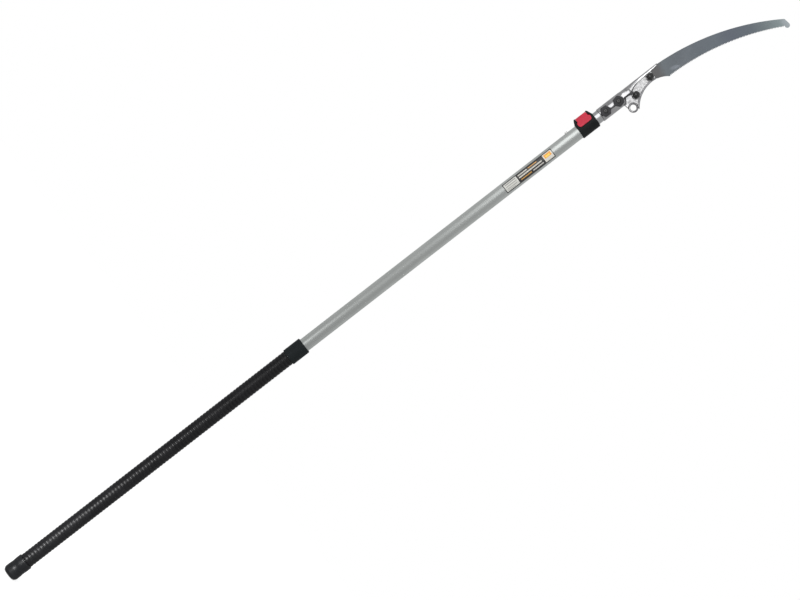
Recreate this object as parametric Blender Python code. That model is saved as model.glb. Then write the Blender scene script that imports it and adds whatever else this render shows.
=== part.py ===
# A telescopic pole saw, stood on its butt: the pole runs up +Z, the blade curves over to +X,
# and the knobs, cap nuts and clamp lever face -Y. All sizes are in metres.

import math

import bmesh
import bpy
from mathutils import Matrix, Vector
from mathutils.geometry import convex_hull_2d

# Gaps between pieces that touch, and of the sliding fit
SEAT_GAP = 0.0003
SLIDE_GAP = 0.0003
HOLE_GAP = 0.0003

# Oval tubes, wide across X and narrow across Y
TUBE_WIDTH = 0.0424
TUBE_DEPTH = 0.0320
OUTER_WALL = 0.0015
INNER_WALL = 0.0013

# Lengths along the pole, from the butt up
CAP_FLOOR = 0.010
CAP_LENGTH = 0.068
GRIP_LENGTH = 1.0041
COLLAR_LENGTH = 0.061
BARE_TUBE_LENGTH = 1.0531
CLAMP_LENGTH = 0.0636
CLAMP_SEAT_DEPTH = 0.022
HEAD_STANDOFF = 0.0174
INNER_TUBE_START = 0.082
PLUG_LENGTH = 0.028

# End cap, grip and collar stand this far out of the tube
CAP_PROUD = 0.0054
CAP_WAIST = 0.0008
CAP_WAIST_HEIGHTS = (0.026, 0.034, 0.041, 0.048)
CAP_ROUNDING = 0.013
CAP_RIM_EDGE = 0.0030
GRIP_PROUD = 0.0024
RIB_PITCH = 0.01154
RIB_DEPTH = 0.0010
COLLAR_PROUD = 0.0051
COLLAR_ROUNDING = 0.003

# Clamp on the outer tube's top end
CLAMP_WALL = 0.0050
CLAMP_SIDE_WALL = 0.0038
CLAMP_POCKET_WALL = 0.0030
CLAMP_EDGE = 0.0024
PIVOT_OUT = 0.0113
PIVOT_FORWARD = 0.0070
EAR_RADIUS = 0.0065
EAR_SPAN = 0.0485
EAR_SLANT_START = 0.0200
CAM_RADIUS = 0.0056
CAM_THROW = 0.0004
PIN_RADIUS = 0.0020
LEVER_ROOT_SPAN = 0.0380
LEVER_WIDEST_SPAN = 0.0475
LEVER_WIDEST_REACH = 0.0125
LEVER_REACH = 0.0254
LEVER_THICKNESS = 0.0040
LEVER_CORNER = 0.0095
LEVER_SIDE_GAP = 0.0010
POCKET_LEAD = 0.0032
SHOE_WIDTH = 0.0080
SHOE_LENGTH = 0.0120
CLAMP_SCREW_RADIUS = 0.0020
CLAMP_SCREW_HEAD = 0.0036
CLAMP_SCREW_HEAD_HEIGHT = 0.0024
CLAMP_SCREW_PITCH = 0.0100
CLAMP_SCREW_START = 0.0060

# Spring button lock, in the inner tube's -X wall
LOCK_BELOW_CLAMP = 0.0325
LOCK_ABOVE_BUSH = 0.008
BUTTON_RADIUS = 0.0042
BUTTON_PROUD = 0.0045
BUTTON_DOME = 0.0015
BUTTON_FLANGE = 0.0012
BUTTON_FLANGE_THICKNESS = 0.0010
SPRING_WIDTH = 0.0080
SPRING_THICKNESS = 0.0008
SPRING_LENGTH = 0.050
SPRING_TOP = 0.0090

# Saw head casting
SOCKET_WALL = 0.0019
SOCKET_DEPTH = 0.080
SCOOP_LENGTH = 0.013
RAIL_START_WIDTH = 0.0256
RAIL_BEND_START = 0.113
RAIL_THINNING_LENGTH = 0.078
BEAK_REACH = 0.234
BEAK_THICKNESS = 0.0030
RAIL_HALF_DEPTH = 0.0076
BEAK_HALF_DEPTH = 0.0036
WEB_REACH = 0.203
WEB_RIM_HALF_DEPTH = 0.0066
WEB_RIM_WIDTH = 0.0024
WEB_POCKET_DEPTH = 0.0016
UNDERSIDE_LOWEST = 0.188
UNDERSIDE_DROP = 0.0152
UNDERSIDE_LOWER_RADIUS = 0.100
UNDERSIDE_UPPER_RADIUS = 0.0786
EYE_HEIGHT = 0.094
EYE_OUT = 0.0427
EYE_RADIUS = 0.0155
EYE_HOLE_RADIUS = 0.0096
EYE_HALF_DEPTH = 0.0070
EYE_EDGE = 0.0018
EYE_JOIN_ANGLES = (35.0, -75.0)
UNDERSIDE_START = 0.128

# Fasteners of the saw head
HEAD_BOLT_START = 0.0188
HEAD_BOLT_PITCH = 0.049
HEAD_BOLT_RADIUS = 0.0040
KNOB_ACROSS_FLATS = 0.0315
KNOB_HEIGHT = 0.0100
KNOB_EDGE = 0.0014
KNOB_RECESS = 0.0050
KNOB_BOSS_RADIUS = 0.0110
KNOB_BOSS_PROUD = 0.0012
BOLT_HEAD_RADIUS = 0.0065
BOLT_HEAD_HEIGHT = 0.0042
BOLT_SOCKET_ACROSS_FLATS = 0.0050
WASHER_RADIUS = 0.0080
WASHER_THICKNESS = 0.0016
NUT_ACROSS_FLATS = 0.0130
NUT_HEIGHT = 0.0065
THREAD_END = 0.0012
KNOB_TURNS = (4.0, -14.0)
BLADE_BOLT_PLACES = ((0.0173, 0.123), (-0.0005, 0.190))
BLADE_BOLT_RADIUS = 0.0039
BLADE_BOLT_HEAD_RADIUS = 0.0075
BLADE_BOLT_HEAD_HEIGHT = 0.0045
BLADE_BOLT_END = 0.0065
BLADE_BOSS_RADIUS = 0.0124
BLADE_BOSS_HALF_DEPTH = 0.0072
CAP_NUT_ACROSS_FLATS = 0.0212
CAP_NUT_HEX_HEIGHT = 0.0062
CAP_NUT_EDGE = 0.0008
CAP_NUT_DOME_RADIUS = 0.0097
CAP_NUT_DOME_HEIGHT = 0.0066
CAP_NUT_TURNS = (12.0, -20.0)

# Blade
BLADE_THICKNESS = 0.0020
SPINE_THICKNESS = 0.0013
SLOT_GAP = 0.0003
SPINE_RADIUS = 0.7945
SPINE_BEND_HEIGHT = 0.185
SPINE_BELOW_RAIL = 0.0019
SPINE_LENGTH = 0.4088
HEEL_HEIGHT = 0.2400
EDGE_RADIUS = 0.8012
TOOTH_PITCH = 0.00486
TOOTH_DEPTH = 0.0033
TOOTH_LEAN = 0.62
TOOTH_BEVEL = 0.0018
TIP_CORNER_RADIUS = 0.0070
HOOK_RADIUS = 0.0080
HOOK_DROP = 0.0131
HOOK_FORWARD = 0.0103
HOOK_ABOVE_EDGE = 0.0032
HOOK_AFTER_TEETH = 0.0095
TANG_TOP = 0.0182
TANG_END_RADIUS = 0.0105
TANG_END_SWEEP = 220.0
TANG_EXIT = 0.0116
TANG_EDGE_COVER = 0.0026

# How finely the curves are cut into facets
OVAL_SEGMENTS = 24
GRIP_SEGMENTS = 14
ROUND_SEGMENTS = 16
SMALL_SEGMENTS = 12
SPINE_SEGMENTS = 40

# Places that follow from the sizes above
OUTER_HALF = Vector((TUBE_WIDTH / 2, TUBE_DEPTH / 2))
OUTER_BORE = OUTER_HALF - Vector((OUTER_WALL, OUTER_WALL))
INNER_HALF = OUTER_BORE - Vector((SLIDE_GAP, SLIDE_GAP))
INNER_BORE = INNER_HALF - Vector((INNER_WALL, INNER_WALL))
SOCKET_BORE = INNER_HALF + Vector((SEAT_GAP, SEAT_GAP))
SOCKET_HALF = SOCKET_BORE + Vector((SOCKET_WALL, SOCKET_WALL))
TUBE_START = CAP_FLOOR + SEAT_GAP
GRIP_START = CAP_LENGTH + SEAT_GAP
COLLAR_START = GRIP_START + GRIP_LENGTH + SEAT_GAP
CLAMP_START = COLLAR_START + COLLAR_LENGTH + BARE_TUBE_LENGTH
CLAMP_END = CLAMP_START + CLAMP_LENGTH
CLAMP_MIDDLE = (CLAMP_START + CLAMP_END) / 2
OUTER_TUBE_END = CLAMP_START + CLAMP_SEAT_DEPTH
HEAD_START = CLAMP_END + HEAD_STANDOFF
INNER_TUBE_END = HEAD_START + SOCKET_DEPTH
PIVOT = Vector((-OUTER_HALF.x - PIVOT_OUT, -PIVOT_FORWARD))
LOCK_HEIGHT = CLAMP_START - LOCK_BELOW_CLAMP
EXTENSION_LOCK_HEIGHT = INNER_TUBE_START + PLUG_LENGTH + SPRING_LENGTH + LOCK_ABOVE_BUSH
HEAD_BOLT_HEIGHTS = [HEAD_START + HEAD_BOLT_START + i * HEAD_BOLT_PITCH for i in range(2)]
KNOB_SEAT = SOCKET_HALF.y + KNOB_BOSS_PROUD
BLADE_BOLTS = [Vector((x, HEAD_START + rise)) for x, rise in BLADE_BOLT_PLACES]
EYE = Vector((EYE_OUT, HEAD_START + EYE_HEIGHT))
UNDERSIDE_HEIGHT = HEAD_START + UNDERSIDE_LOWEST
RAIL_TOP = -SOCKET_HALF.x
SPINE_CENTRE = Vector((RAIL_TOP + SPINE_BELOW_RAIL + SPINE_RADIUS, HEAD_START + SPINE_BEND_HEIGHT))

for old in list(bpy.data.objects):
    bpy.data.objects.remove(old, do_unlink=True)


def material(name, colour, roughness, metallic):
    made = bpy.data.materials.new(name)
    made.use_nodes = True
    shader = made.node_tree.nodes["Principled BSDF"]
    shader.inputs["Base Color"].default_value = (*colour, 1.0)
    shader.inputs["Roughness"].default_value = roughness
    shader.inputs["Metallic"].default_value = metallic
    return made


def anchor(name, place):
    """An empty on a joint's axis, which its moving pieces hang from."""
    empty = bpy.data.objects.new(name, None)
    empty.location = place
    bpy.context.scene.collection.objects.link(empty)
    return empty


def place_on(obj, parent):
    obj.parent = parent
    obj.matrix_parent_inverse = Matrix.Translation(parent.location).inverted()


def finish(bm, name, smooth_degrees=40.0):
    """Turns a closed bmesh into an object with its faces pointing out."""
    bmesh.ops.recalc_face_normals(bm, faces=bm.faces)
    mesh = bpy.data.meshes.new(name)
    bm.to_mesh(mesh)
    bm.free()
    mesh.shade_smooth()
    mesh.set_sharp_from_angle(angle=math.radians(smooth_degrees))
    obj = bpy.data.objects.new(name, mesh)
    bpy.context.scene.collection.objects.link(obj)
    return obj


def skin(name, rings, hollow=False):
    """Joins rings of points with faces. A hollow skin closes from its last ring to its first."""
    bm = bmesh.new()
    loops = [[bm.verts.new(point) for point in ring] for ring in rings]
    count = len(loops[0])
    pairs = list(zip(loops, loops[1:]))
    if hollow:
        pairs.append((loops[-1], loops[0]))
    else:
        bm.faces.new(loops[0])
        bm.faces.new(loops[-1])
    for lower, upper in pairs:
        for i in range(count):
            j = (i + 1) % count
            bm.faces.new((lower[i], lower[j], upper[j], upper[i]))
    return finish(bm, name)


def extrude(name, outline, along, rim=None):
    """Extrudes a flat outline. A rim of (width, depth) sinks the middle of both of its faces."""
    bm = bmesh.new()
    first = bm.faces.new([bm.verts.new(point) for point in outline])
    grown = bmesh.ops.extrude_face_region(bm, geom=[first])
    moved = [item for item in grown["geom"] if isinstance(item, bmesh.types.BMVert)]
    bmesh.ops.translate(bm, verts=moved, vec=along)
    bmesh.ops.recalc_face_normals(bm, faces=bm.faces)
    if rim:
        width, depth = rim
        direction = Vector(along).normalized()
        caps = [face for face in bm.faces if abs(face.normal.dot(direction)) > 0.99]
        for cap in caps:
            bmesh.ops.inset_region(bm, faces=[cap], thickness=width, depth=-depth, use_even_offset=True)
    return finish(bm, name)


def oval(half, z, count=OVAL_SEGMENTS):
    turns = [2 * math.pi * i / count for i in range(count)]
    return [(half.x * math.cos(turn), half.y * math.sin(turn), z) for turn in turns]


def grown(half, amount):
    return Vector((half.x + amount, half.y + amount))


def arc(centre, radius, start, end, steps):
    """Points on a circle in two numbers, its angles in radians."""
    turns = [start + (end - start) * i / steps for i in range(steps + 1)]
    return [centre + radius * Vector((math.cos(turn), math.sin(turn))) for turn in turns]


def circle(centre, radius, count=ROUND_SEGMENTS):
    return arc(centre, radius, 0.0, 2 * math.pi, count)[:-1]


def upright(points, y):
    """Stands two-number points (x, z) up in the plane of that y."""
    return [(point.x, y, point.y) for point in points]


def level(points, z):
    """Lays two-number points (x, y) in the level plane of that z."""
    return [(point.x, point.y, z) for point in points]


def rod_y(name, centre, radius, start, end, count=ROUND_SEGMENTS):
    return extrude(name, upright(circle(centre, radius, count), start), (0, end - start, 0))


def rod_z(name, centre, radius, start, end, count=ROUND_SEGMENTS):
    return extrude(name, level(circle(centre, radius, count), start), (0, 0, end - start))


def dome(radius, start, height, steps):
    """Radius and place of each ring of a rounded end that stops short of its pole."""
    turns = [math.pi / 2 * i / steps for i in range(steps)]
    return [(radius * math.cos(turn), start + height * math.sin(turn)) for turn in turns]


def turned(name, centre, steps, turn_degrees=0.0, hollow=False, count=SMALL_SEGMENTS):
    """Rings of (reach, y) about a Y axis, joined into a turned or hexagonal piece."""
    rings = [ring_about_y(centre, reach, y, turn_degrees, count) for reach, y in steps]
    return skin(name, rings, hollow)


def oval_rod(name, half, start, end):
    return skin(name, [oval(half, start), oval(half, end)])


def block(name, low, high):
    (x0, y0, z0), (x1, y1, z1) = low, high
    corners = [Vector((x0, y0)), Vector((x1, y0)), Vector((x1, y1)), Vector((x0, y1))]
    return extrude(name, level(corners, z0), (0, 0, z1 - z0))


def combine(obj, tool, operation):
    """A live Boolean with a tool that stays out of the model."""
    tool.hide_render = True
    tool.display_type = "WIRE"
    modifier = obj.modifiers.new(operation.title(), "BOOLEAN")
    modifier.operation = operation
    modifier.solver = "EXACT"
    modifier.object = tool
    tool.parent = obj.parent
    return obj


def bevel(obj, width, segments=2, degrees=50.0):
    modifier = obj.modifiers.new("Bevel", "BEVEL")
    modifier.width = width
    modifier.segments = segments
    modifier.limit_method = "ANGLE"
    modifier.angle_limit = math.radians(degrees)


def tube(name, outer, bore, start, end):
    rings = [oval(outer, start), oval(outer, end), oval(bore, end), oval(bore, start)]
    return skin(name, rings, hollow=True)


def polygon_radius(turn, across_flats, sides=6):
    """How far a regular polygon reaches at an angle, with a corner at angle 0."""
    half_side = math.pi / sides
    return across_flats / 2 / math.cos((turn % (2 * half_side)) - half_side)


def ring_about_y(centre, reach, y, turn_degrees=0.0, count=ROUND_SEGMENTS):
    """A ring of points about a Y axis through (x, z). Reach is a radius, or a function of the angle."""
    points = []
    for i in range(count):
        turn = 2 * math.pi * i / count
        radius = reach(turn) if callable(reach) else reach
        aim = turn + math.radians(turn_degrees)
        points.append((centre.x + radius * math.sin(aim), y, centre.y + radius * math.cos(aim)))
    return points


def hexagon(across_flats):
    return lambda turn: polygon_radius(turn, across_flats)


def end_cap():
    """Rubber cup: rounded closed end, slight waist, bulged rim."""
    full = grown(OUTER_HALF, CAP_PROUD)
    rings = []
    for i in range(6):
        turn = math.pi / 2 * i / 5
        inset = CAP_ROUNDING * (1 - math.sin(turn))
        rings.append(oval(grown(full, -inset), CAP_ROUNDING * (1 - math.cos(turn))))
    waist = grown(full, -CAP_WAIST)
    for height, half in zip(CAP_WAIST_HEIGHTS, (full, waist, waist, full)):
        rings.append(oval(half, height))
    rings.append(oval(full, CAP_LENGTH - 2 * CAP_RIM_EDGE))
    rings.append(oval(grown(full, -CAP_RIM_EDGE / 2), CAP_LENGTH - CAP_RIM_EDGE))
    rings.append(oval(grown(full, -CAP_RIM_EDGE), CAP_LENGTH))
    cup = grown(OUTER_HALF, SEAT_GAP)
    rings.append(oval(cup, CAP_LENGTH))
    rings.append(oval(cup, CAP_FLOOR))
    return skin("end_cap", rings)


def butt_plug():
    spigot = grown(OUTER_BORE, -SEAT_GAP)
    return skin("butt_plug", [
        oval(spigot, TUBE_START),
        oval(spigot, TUBE_START + PLUG_LENGTH - CAP_WAIST),
        oval(grown(spigot, -CAP_WAIST), TUBE_START + PLUG_LENGTH),
    ])


def rubber_grip():
    """Sleeve with a rib every pitch, a crest and a groove for each."""
    ribs = int(GRIP_LENGTH / RIB_PITCH)
    crest = grown(OUTER_HALF, GRIP_PROUD)
    groove = grown(crest, -RIB_DEPTH)
    pitch = GRIP_LENGTH / ribs
    rings = [oval(groove, GRIP_START, GRIP_SEGMENTS)]
    for i in range(ribs):
        rings.append(oval(crest, GRIP_START + (i + 0.5) * pitch, GRIP_SEGMENTS))
        rings.append(oval(groove, GRIP_START + (i + 1) * pitch, GRIP_SEGMENTS))
    facet_allowance = TUBE_WIDTH / 2 * (1 - math.cos(math.pi / GRIP_SEGMENTS))
    bore = grown(OUTER_HALF, SEAT_GAP + facet_allowance)
    rings.append(oval(bore, GRIP_START + GRIP_LENGTH, GRIP_SEGMENTS))
    rings.append(oval(bore, GRIP_START, GRIP_SEGMENTS))
    return skin("rubber_grip", rings, hollow=True)


def grip_collar():
    full = grown(OUTER_HALF, COLLAR_PROUD)
    end = COLLAR_START + COLLAR_LENGTH
    rings = [
        oval(grown(full, -COLLAR_ROUNDING), COLLAR_START),
        oval(full, COLLAR_START + COLLAR_ROUNDING),
    ]
    for i in range(3):
        turn = math.pi / 2 * i / 2
        inset = COLLAR_ROUNDING * (1 - math.cos(turn))
        rings.append(oval(grown(full, -inset), end - COLLAR_ROUNDING * (1 - math.sin(turn))))
    bore = grown(OUTER_HALF, SEAT_GAP)
    rings += [oval(bore, end), oval(bore, COLLAR_START)]
    return skin("grip_collar", rings, hollow=True)


def button_hole(name, height, radius):
    """A cutter across the -X wall."""
    around = circle(Vector((0, height)), radius, SMALL_SEGMENTS)
    outline = [(-TUBE_WIDTH, point.x, point.y) for point in around]
    return extrude(name, outline, (TUBE_WIDTH - INNER_BORE.x / 2, 0, 0))


def outer_tube():
    made = tube("outer_tube", OUTER_HALF, OUTER_BORE, TUBE_START, OUTER_TUBE_END)
    radius = BUTTON_RADIUS + 2 * HOLE_GAP
    combine(made, button_hole("outer_button_hole", LOCK_HEIGHT, radius), "DIFFERENCE")
    for i, height in enumerate(clamp_screw_heights()):
        combine(made, screw_hole(f"outer_screw_hole_{i}", height), "DIFFERENCE")
    return made


def clamp_screw_heights():
    first = CLAMP_START + CLAMP_SCREW_START
    return [first, first + CLAMP_SCREW_PITCH]


def screw_hole(name, height):
    radius = CLAMP_SCREW_RADIUS + HOLE_GAP
    return rod_y(name, Vector((0, height)), radius, OUTER_BORE.y / 2, TUBE_DEPTH, SMALL_SEGMENTS)


def lever_plan(gap, reach, corner, lead=0.0):
    """The lever seen from the front: straight by the pivot, then wider, with round free corners.
    A lead starts the widening nearer to the pivot, where the turning lever sweeps."""
    root = CAM_RADIUS + CAM_THROW
    narrow = LEVER_ROOT_SPAN / 2 + gap
    wide = LEVER_WIDEST_SPAN / 2 + gap
    points = []
    for side in (1, -1):
        half = []
        for distance, out in ((-root - 2 * gap, narrow), (root - lead, narrow), (LEVER_WIDEST_REACH - lead, wide)):
            half.append(Vector((PIVOT.x + distance, CLAMP_MIDDLE + side * out)))
        centre = Vector((PIVOT.x + reach - corner, CLAMP_MIDDLE + side * (wide - corner)))
        half += arc(centre, corner, side * math.pi / 2, 0.0, 5)
        points += half if side == 1 else half[::-1]
    return points


def pocket_core():
    return grown(OUTER_HALF, CLAMP_POCKET_WALL)


def clamp_housing():
    """Oval ring with two ears for the lever's pin, and a pocket between them for the lever."""
    ring = OUTER_HALF + Vector((CLAMP_SIDE_WALL, CLAMP_WALL))
    ring_points = [Vector((x, y)) for x, y, z in oval(ring, 0.0)]
    ear_points = circle(PIVOT, EAR_RADIUS)
    points = ring_points + ear_points
    outline = [points[i] for i in convex_hull_2d(points)]
    made = extrude("clamp_housing", level(outline, CLAMP_START), (0, 0, CLAMP_LENGTH))
    bevel(made, CLAMP_EDGE)
    for side, name in ((-1, "lower_slant"), (1, "upper_slant")):
        combine(made, slant_cutter(name, side), "DIFFERENCE")
    pocket = lever_plan(LEVER_SIDE_GAP, LEVER_REACH + LEVER_SIDE_GAP, LEVER_CORNER, POCKET_LEAD)
    depth = PIVOT.y + CAM_RADIUS + CAM_THROW + SEAT_GAP
    cutter = extrude("lever_pocket", upright(pocket, -TUBE_WIDTH), (0, TUBE_WIDTH + depth, 0))
    combine(made, cutter, "DIFFERENCE")
    edge = CLAMP_EDGE
    core = oval_rod("pocket_core", pocket_core(), CLAMP_START + edge, CLAMP_END - edge)
    combine(made, core, "UNION")
    below = CLAMP_START - CLAMP_LENGTH
    above = CLAMP_END + CLAMP_LENGTH
    tube_seat = oval_rod("tube_seat", grown(OUTER_HALF, SEAT_GAP), below, OUTER_TUBE_END + SEAT_GAP)
    combine(made, tube_seat, "DIFFERENCE")
    slide_bore = oval_rod("slide_bore", grown(INNER_HALF, SLIDE_GAP), below, above)
    combine(made, slide_bore, "DIFFERENCE")
    combine(made, shoe_block("shoe_window", SEAT_GAP), "DIFFERENCE")
    pin_hole = rod_z("pin_hole", PIVOT, PIN_RADIUS + HOLE_GAP, below, above, SMALL_SEGMENTS)
    combine(made, pin_hole, "DIFFERENCE")
    for i, height in enumerate(clamp_screw_heights()):
        combine(made, screw_hole(f"clamp_screw_hole_{i}", height), "DIFFERENCE")
    return made


def slant_cutter(name, side):
    """A wedge that narrows the clamp from its full length to the span of the ears."""
    outside = PIVOT.x - EAR_RADIUS
    end = CLAMP_MIDDLE + side * CLAMP_LENGTH / 2
    ear_end = CLAMP_MIDDLE + side * EAR_SPAN / 2
    slope = (end - ear_end) / (-EAR_SLANT_START - outside)
    beyond = outside - EAR_RADIUS
    outline = [
        Vector((-EAR_SLANT_START, end)),
        Vector((beyond, end + slope * (beyond + EAR_SLANT_START))),
        Vector((beyond, end + side * EAR_RADIUS)),
        Vector((-EAR_SLANT_START, end + side * EAR_RADIUS)),
    ]
    return extrude(name, upright(outline, -TUBE_WIDTH), (0, 2 * TUBE_WIDTH, 0))


def shoe_block(name, gap):
    half_width = SHOE_WIDTH / 2 + gap
    half_length = SHOE_LENGTH / 2 + gap
    low = (PIVOT.x, PIVOT.y - half_width, CLAMP_MIDDLE - half_length)
    high = (-INNER_HALF.x / 2, PIVOT.y + half_width, CLAMP_MIDDLE + half_length)
    return block(name, low, high)


def pressure_shoe():
    """The block that the cam pushes on the inner tube, hollowed to both."""
    made = shoe_block("pressure_shoe", 0.0)
    start = CLAMP_START
    end = CLAMP_END
    combine(made, oval_rod("shoe_tube_side", grown(INNER_HALF, SLIDE_GAP), start, end), "DIFFERENCE")
    reach = CAM_RADIUS + CAM_THROW + SEAT_GAP
    combine(made, rod_z("shoe_cam_side", PIVOT, reach, start, end), "DIFFERENCE")
    return made


def clamp_lever():
    """Cam barrel and finger plate in one, laid along the clamp's front."""
    lip = pocket_core()
    end_x = PIVOT.x + LEVER_REACH
    lip_y = -math.sqrt(1 - (end_x / grown(lip, SEAT_GAP).x) ** 2) * grown(lip, SEAT_GAP).y
    cam_centre = PIVOT + Vector((CAM_THROW, 0))
    tip = Vector((end_x - LEVER_THICKNESS / 2, lip_y - LEVER_THICKNESS / 2 - SEAT_GAP))
    run = tip - cam_centre
    tilt = math.atan2(run.y, run.x)
    lean = math.asin((CAM_RADIUS - LEVER_THICKNESS / 2) / run.length)
    front = tilt - math.pi / 2 - lean
    outline = arc(cam_centre, CAM_RADIUS, front, front - 1.5 * math.pi, 14)
    outline += arc(tip, LEVER_THICKNESS / 2, tilt + 0.5 * math.pi, front, 8)
    made = extrude("clamp_lever", level(outline, CLAMP_START), (0, 0, CLAMP_LENGTH))
    below = CLAMP_START - CLAMP_EDGE
    above = CLAMP_END + CLAMP_EDGE
    combine(made, oval_rod("lever_clearance", grown(lip, SEAT_GAP), below, above), "DIFFERENCE")
    behind_cam = shoe_block("lever_shoe_clearance", SEAT_GAP)
    combine(behind_cam, rod_z("lever_cam", cam_centre, CAM_RADIUS, CLAMP_START, CLAMP_END), "DIFFERENCE")
    combine(made, behind_cam, "DIFFERENCE")
    plan = upright(lever_plan(0.0, LEVER_REACH, LEVER_CORNER), -TUBE_WIDTH)
    combine(made, extrude("lever_plan", plan, (0, TUBE_WIDTH, 0)), "INTERSECT")
    hole = rod_z("lever_pin_hole", PIVOT, PIN_RADIUS + HOLE_GAP, CLAMP_START, CLAMP_END, SMALL_SEGMENTS)
    combine(made, hole, "DIFFERENCE")
    return made


def lever_pin():
    half = EAR_SPAN / 2 - PIN_RADIUS / 2
    return rod_z("lever_pin", PIVOT, PIN_RADIUS, CLAMP_MIDDLE - half, CLAMP_MIDDLE + half, SMALL_SEGMENTS)


def clamp_screw(name, height):
    """Pan head screw through the clamp into the outer tube's wall, from the back."""
    seat = OUTER_HALF.y + CLAMP_WALL + SEAT_GAP
    steps = [(CLAMP_SCREW_RADIUS, OUTER_BORE.y + SEAT_GAP), (CLAMP_SCREW_RADIUS, seat)]
    steps += dome(CLAMP_SCREW_HEAD, seat, CLAMP_SCREW_HEAD_HEIGHT, 4)
    return turned(name, Vector((0, height)), steps)


def inner_tube():
    made = tube("inner_tube", INNER_HALF, INNER_BORE, INNER_TUBE_START, INNER_TUBE_END)
    for name, height in (("lock", LOCK_HEIGHT), ("extension_lock", EXTENSION_LOCK_HEIGHT)):
        combine(made, button_hole(f"inner_{name}_hole", height, BUTTON_RADIUS + HOLE_GAP), "DIFFERENCE")
    for i, height in enumerate(HEAD_BOLT_HEIGHTS):
        combine(made, head_bolt_hole(f"inner_bolt_hole_{i}", height), "DIFFERENCE")
    return made


def head_bolt_hole(name, height):
    reach = 2 * SOCKET_HALF.y
    return rod_y(name, Vector((0, height)), HEAD_BOLT_RADIUS + HOLE_GAP, -reach, reach, SMALL_SEGMENTS)


def foot_bush():
    """Guide bush: a flange as wide as the tube, and a spigot up inside it."""
    spigot = grown(INNER_BORE, -SEAT_GAP)
    seat = INNER_TUBE_START - SEAT_GAP
    bottom = seat - PLUG_LENGTH / 3
    return skin("foot_bush", [
        oval(grown(INNER_HALF, -CAP_WAIST), bottom),
        oval(INNER_HALF, bottom + CAP_WAIST),
        oval(INNER_HALF, seat),
        oval(spigot, seat),
        oval(spigot, seat + PLUG_LENGTH),
    ])


def tube_core():
    made = oval_rod("tube_core", grown(INNER_BORE, -SEAT_GAP), HEAD_START, INNER_TUBE_END - SEAT_GAP)
    for i, height in enumerate(HEAD_BOLT_HEIGHTS):
        combine(made, head_bolt_hole(f"core_bolt_hole_{i}", height), "DIFFERENCE")
    return made


def oval_x(half, y):
    """How far out an oval reaches in x at that y."""
    return half.x * math.sqrt(1 - (y / half.y) ** 2)


def button_seat():
    """How far out the button's flange sits, inside the inner tube's curved wall."""
    return oval_x(INNER_BORE, BUTTON_RADIUS + BUTTON_FLANGE) - SEAT_GAP


def button_dome():
    return dome(BUTTON_RADIUS, BUTTON_DOME, -BUTTON_DOME, 3)


def button_press_travel():
    """From standing out of the outer tube to clear of its curved bore."""
    radius, depth = button_dome()[-1]
    return OUTER_HALF.x + BUTTON_PROUD - depth + SLIDE_GAP - oval_x(OUTER_BORE, radius)


def lock_button(name, height, press):
    """Domed button with a flange behind the tube's wall, pushed in by press."""
    flange = press - button_seat()
    face = press - OUTER_HALF.x - BUTTON_PROUD
    wide = BUTTON_RADIUS + BUTTON_FLANGE
    steps = [(wide, flange + BUTTON_FLANGE_THICKNESS), (wide, flange), (BUTTON_RADIUS, flange)]
    steps += [(radius, face + depth) for radius, depth in button_dome()]
    rings = []
    for radius, x in steps:
        around = circle(Vector((0, height)), radius, SMALL_SEGMENTS)
        rings.append([(x, point.x, point.y) for point in around])
    return skin(name, rings)


def lock_spring(name, height, press):
    """V-shaped leaf spring behind a button: one leg on the button, one on the far wall."""
    near = press - button_seat() + BUTTON_FLANGE_THICKNESS + SEAT_GAP + SPRING_THICKNESS / 2
    far = button_seat()
    bottom = height - SPRING_LENGTH
    bend = 3 * SPRING_THICKNESS
    rise = height - SPRING_TOP
    middle = [Vector((near, height + SPRING_TOP)), Vector((near, rise))]
    middle += arc(Vector(((near + far) / 2, bottom)), bend, math.pi, 2 * math.pi, 6)
    middle += [Vector((far, rise)), Vector((far, height + SPRING_TOP))]
    sides = []
    for i, point in enumerate(middle):
        before = middle[max(i - 1, 0)]
        after = middle[min(i + 1, len(middle) - 1)]
        run = (after - before).normalized()
        sides.append(Vector((-run.y, run.x)) * SPRING_THICKNESS / 2)
    outline = [p + s for p, s in zip(middle, sides)] + [p - s for p, s in zip(middle, sides)][::-1]
    return extrude(name, upright(outline, -SPRING_WIDTH / 2), (0, SPRING_WIDTH, 0))


def ease(share):
    """0 to 1, level at both ends."""
    share = min(max(share, 0.0), 1.0)
    return share * share * (3 - 2 * share)


def rail_section(z):
    """Low edge in x and half depth in y of the socket and the spine rail at that height."""
    scoop_start = INNER_TUBE_END + SOCKET_WALL
    scoop = ease((z - scoop_start) / SCOOP_LENGTH)
    low = SOCKET_HALF.x + scoop * (RAIL_TOP + RAIL_START_WIDTH - SOCKET_HALF.x)
    bend_start = HEAD_START + RAIL_BEND_START
    tip = HEAD_START + BEAK_REACH
    bend = min(max((z - bend_start) / (tip - bend_start), 0.0), 1.0)
    low -= (RAIL_START_WIDTH - BEAK_THICKNESS) * (1 - (1 - bend) ** 2)
    web_end = HEAD_START + WEB_REACH
    thin = ease((z - scoop_start) / RAIL_THINNING_LENGTH)
    depth = SOCKET_HALF.y + thin * (RAIL_HALF_DEPTH - SOCKET_HALF.y)
    beak = ease((z - web_end) / (tip - web_end))
    return low, depth + beak * (BEAK_HALF_DEPTH - RAIL_HALF_DEPTH)


def rail_ring(z, inset=0.0):
    low, depth = rail_section(z)
    low -= inset
    top = RAIL_TOP + inset
    middle = (low + top) / 2
    half = Vector(((low - top) / 2, depth - inset))
    return [(middle + x, y, height) for x, y, height in oval(half, z)]


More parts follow.
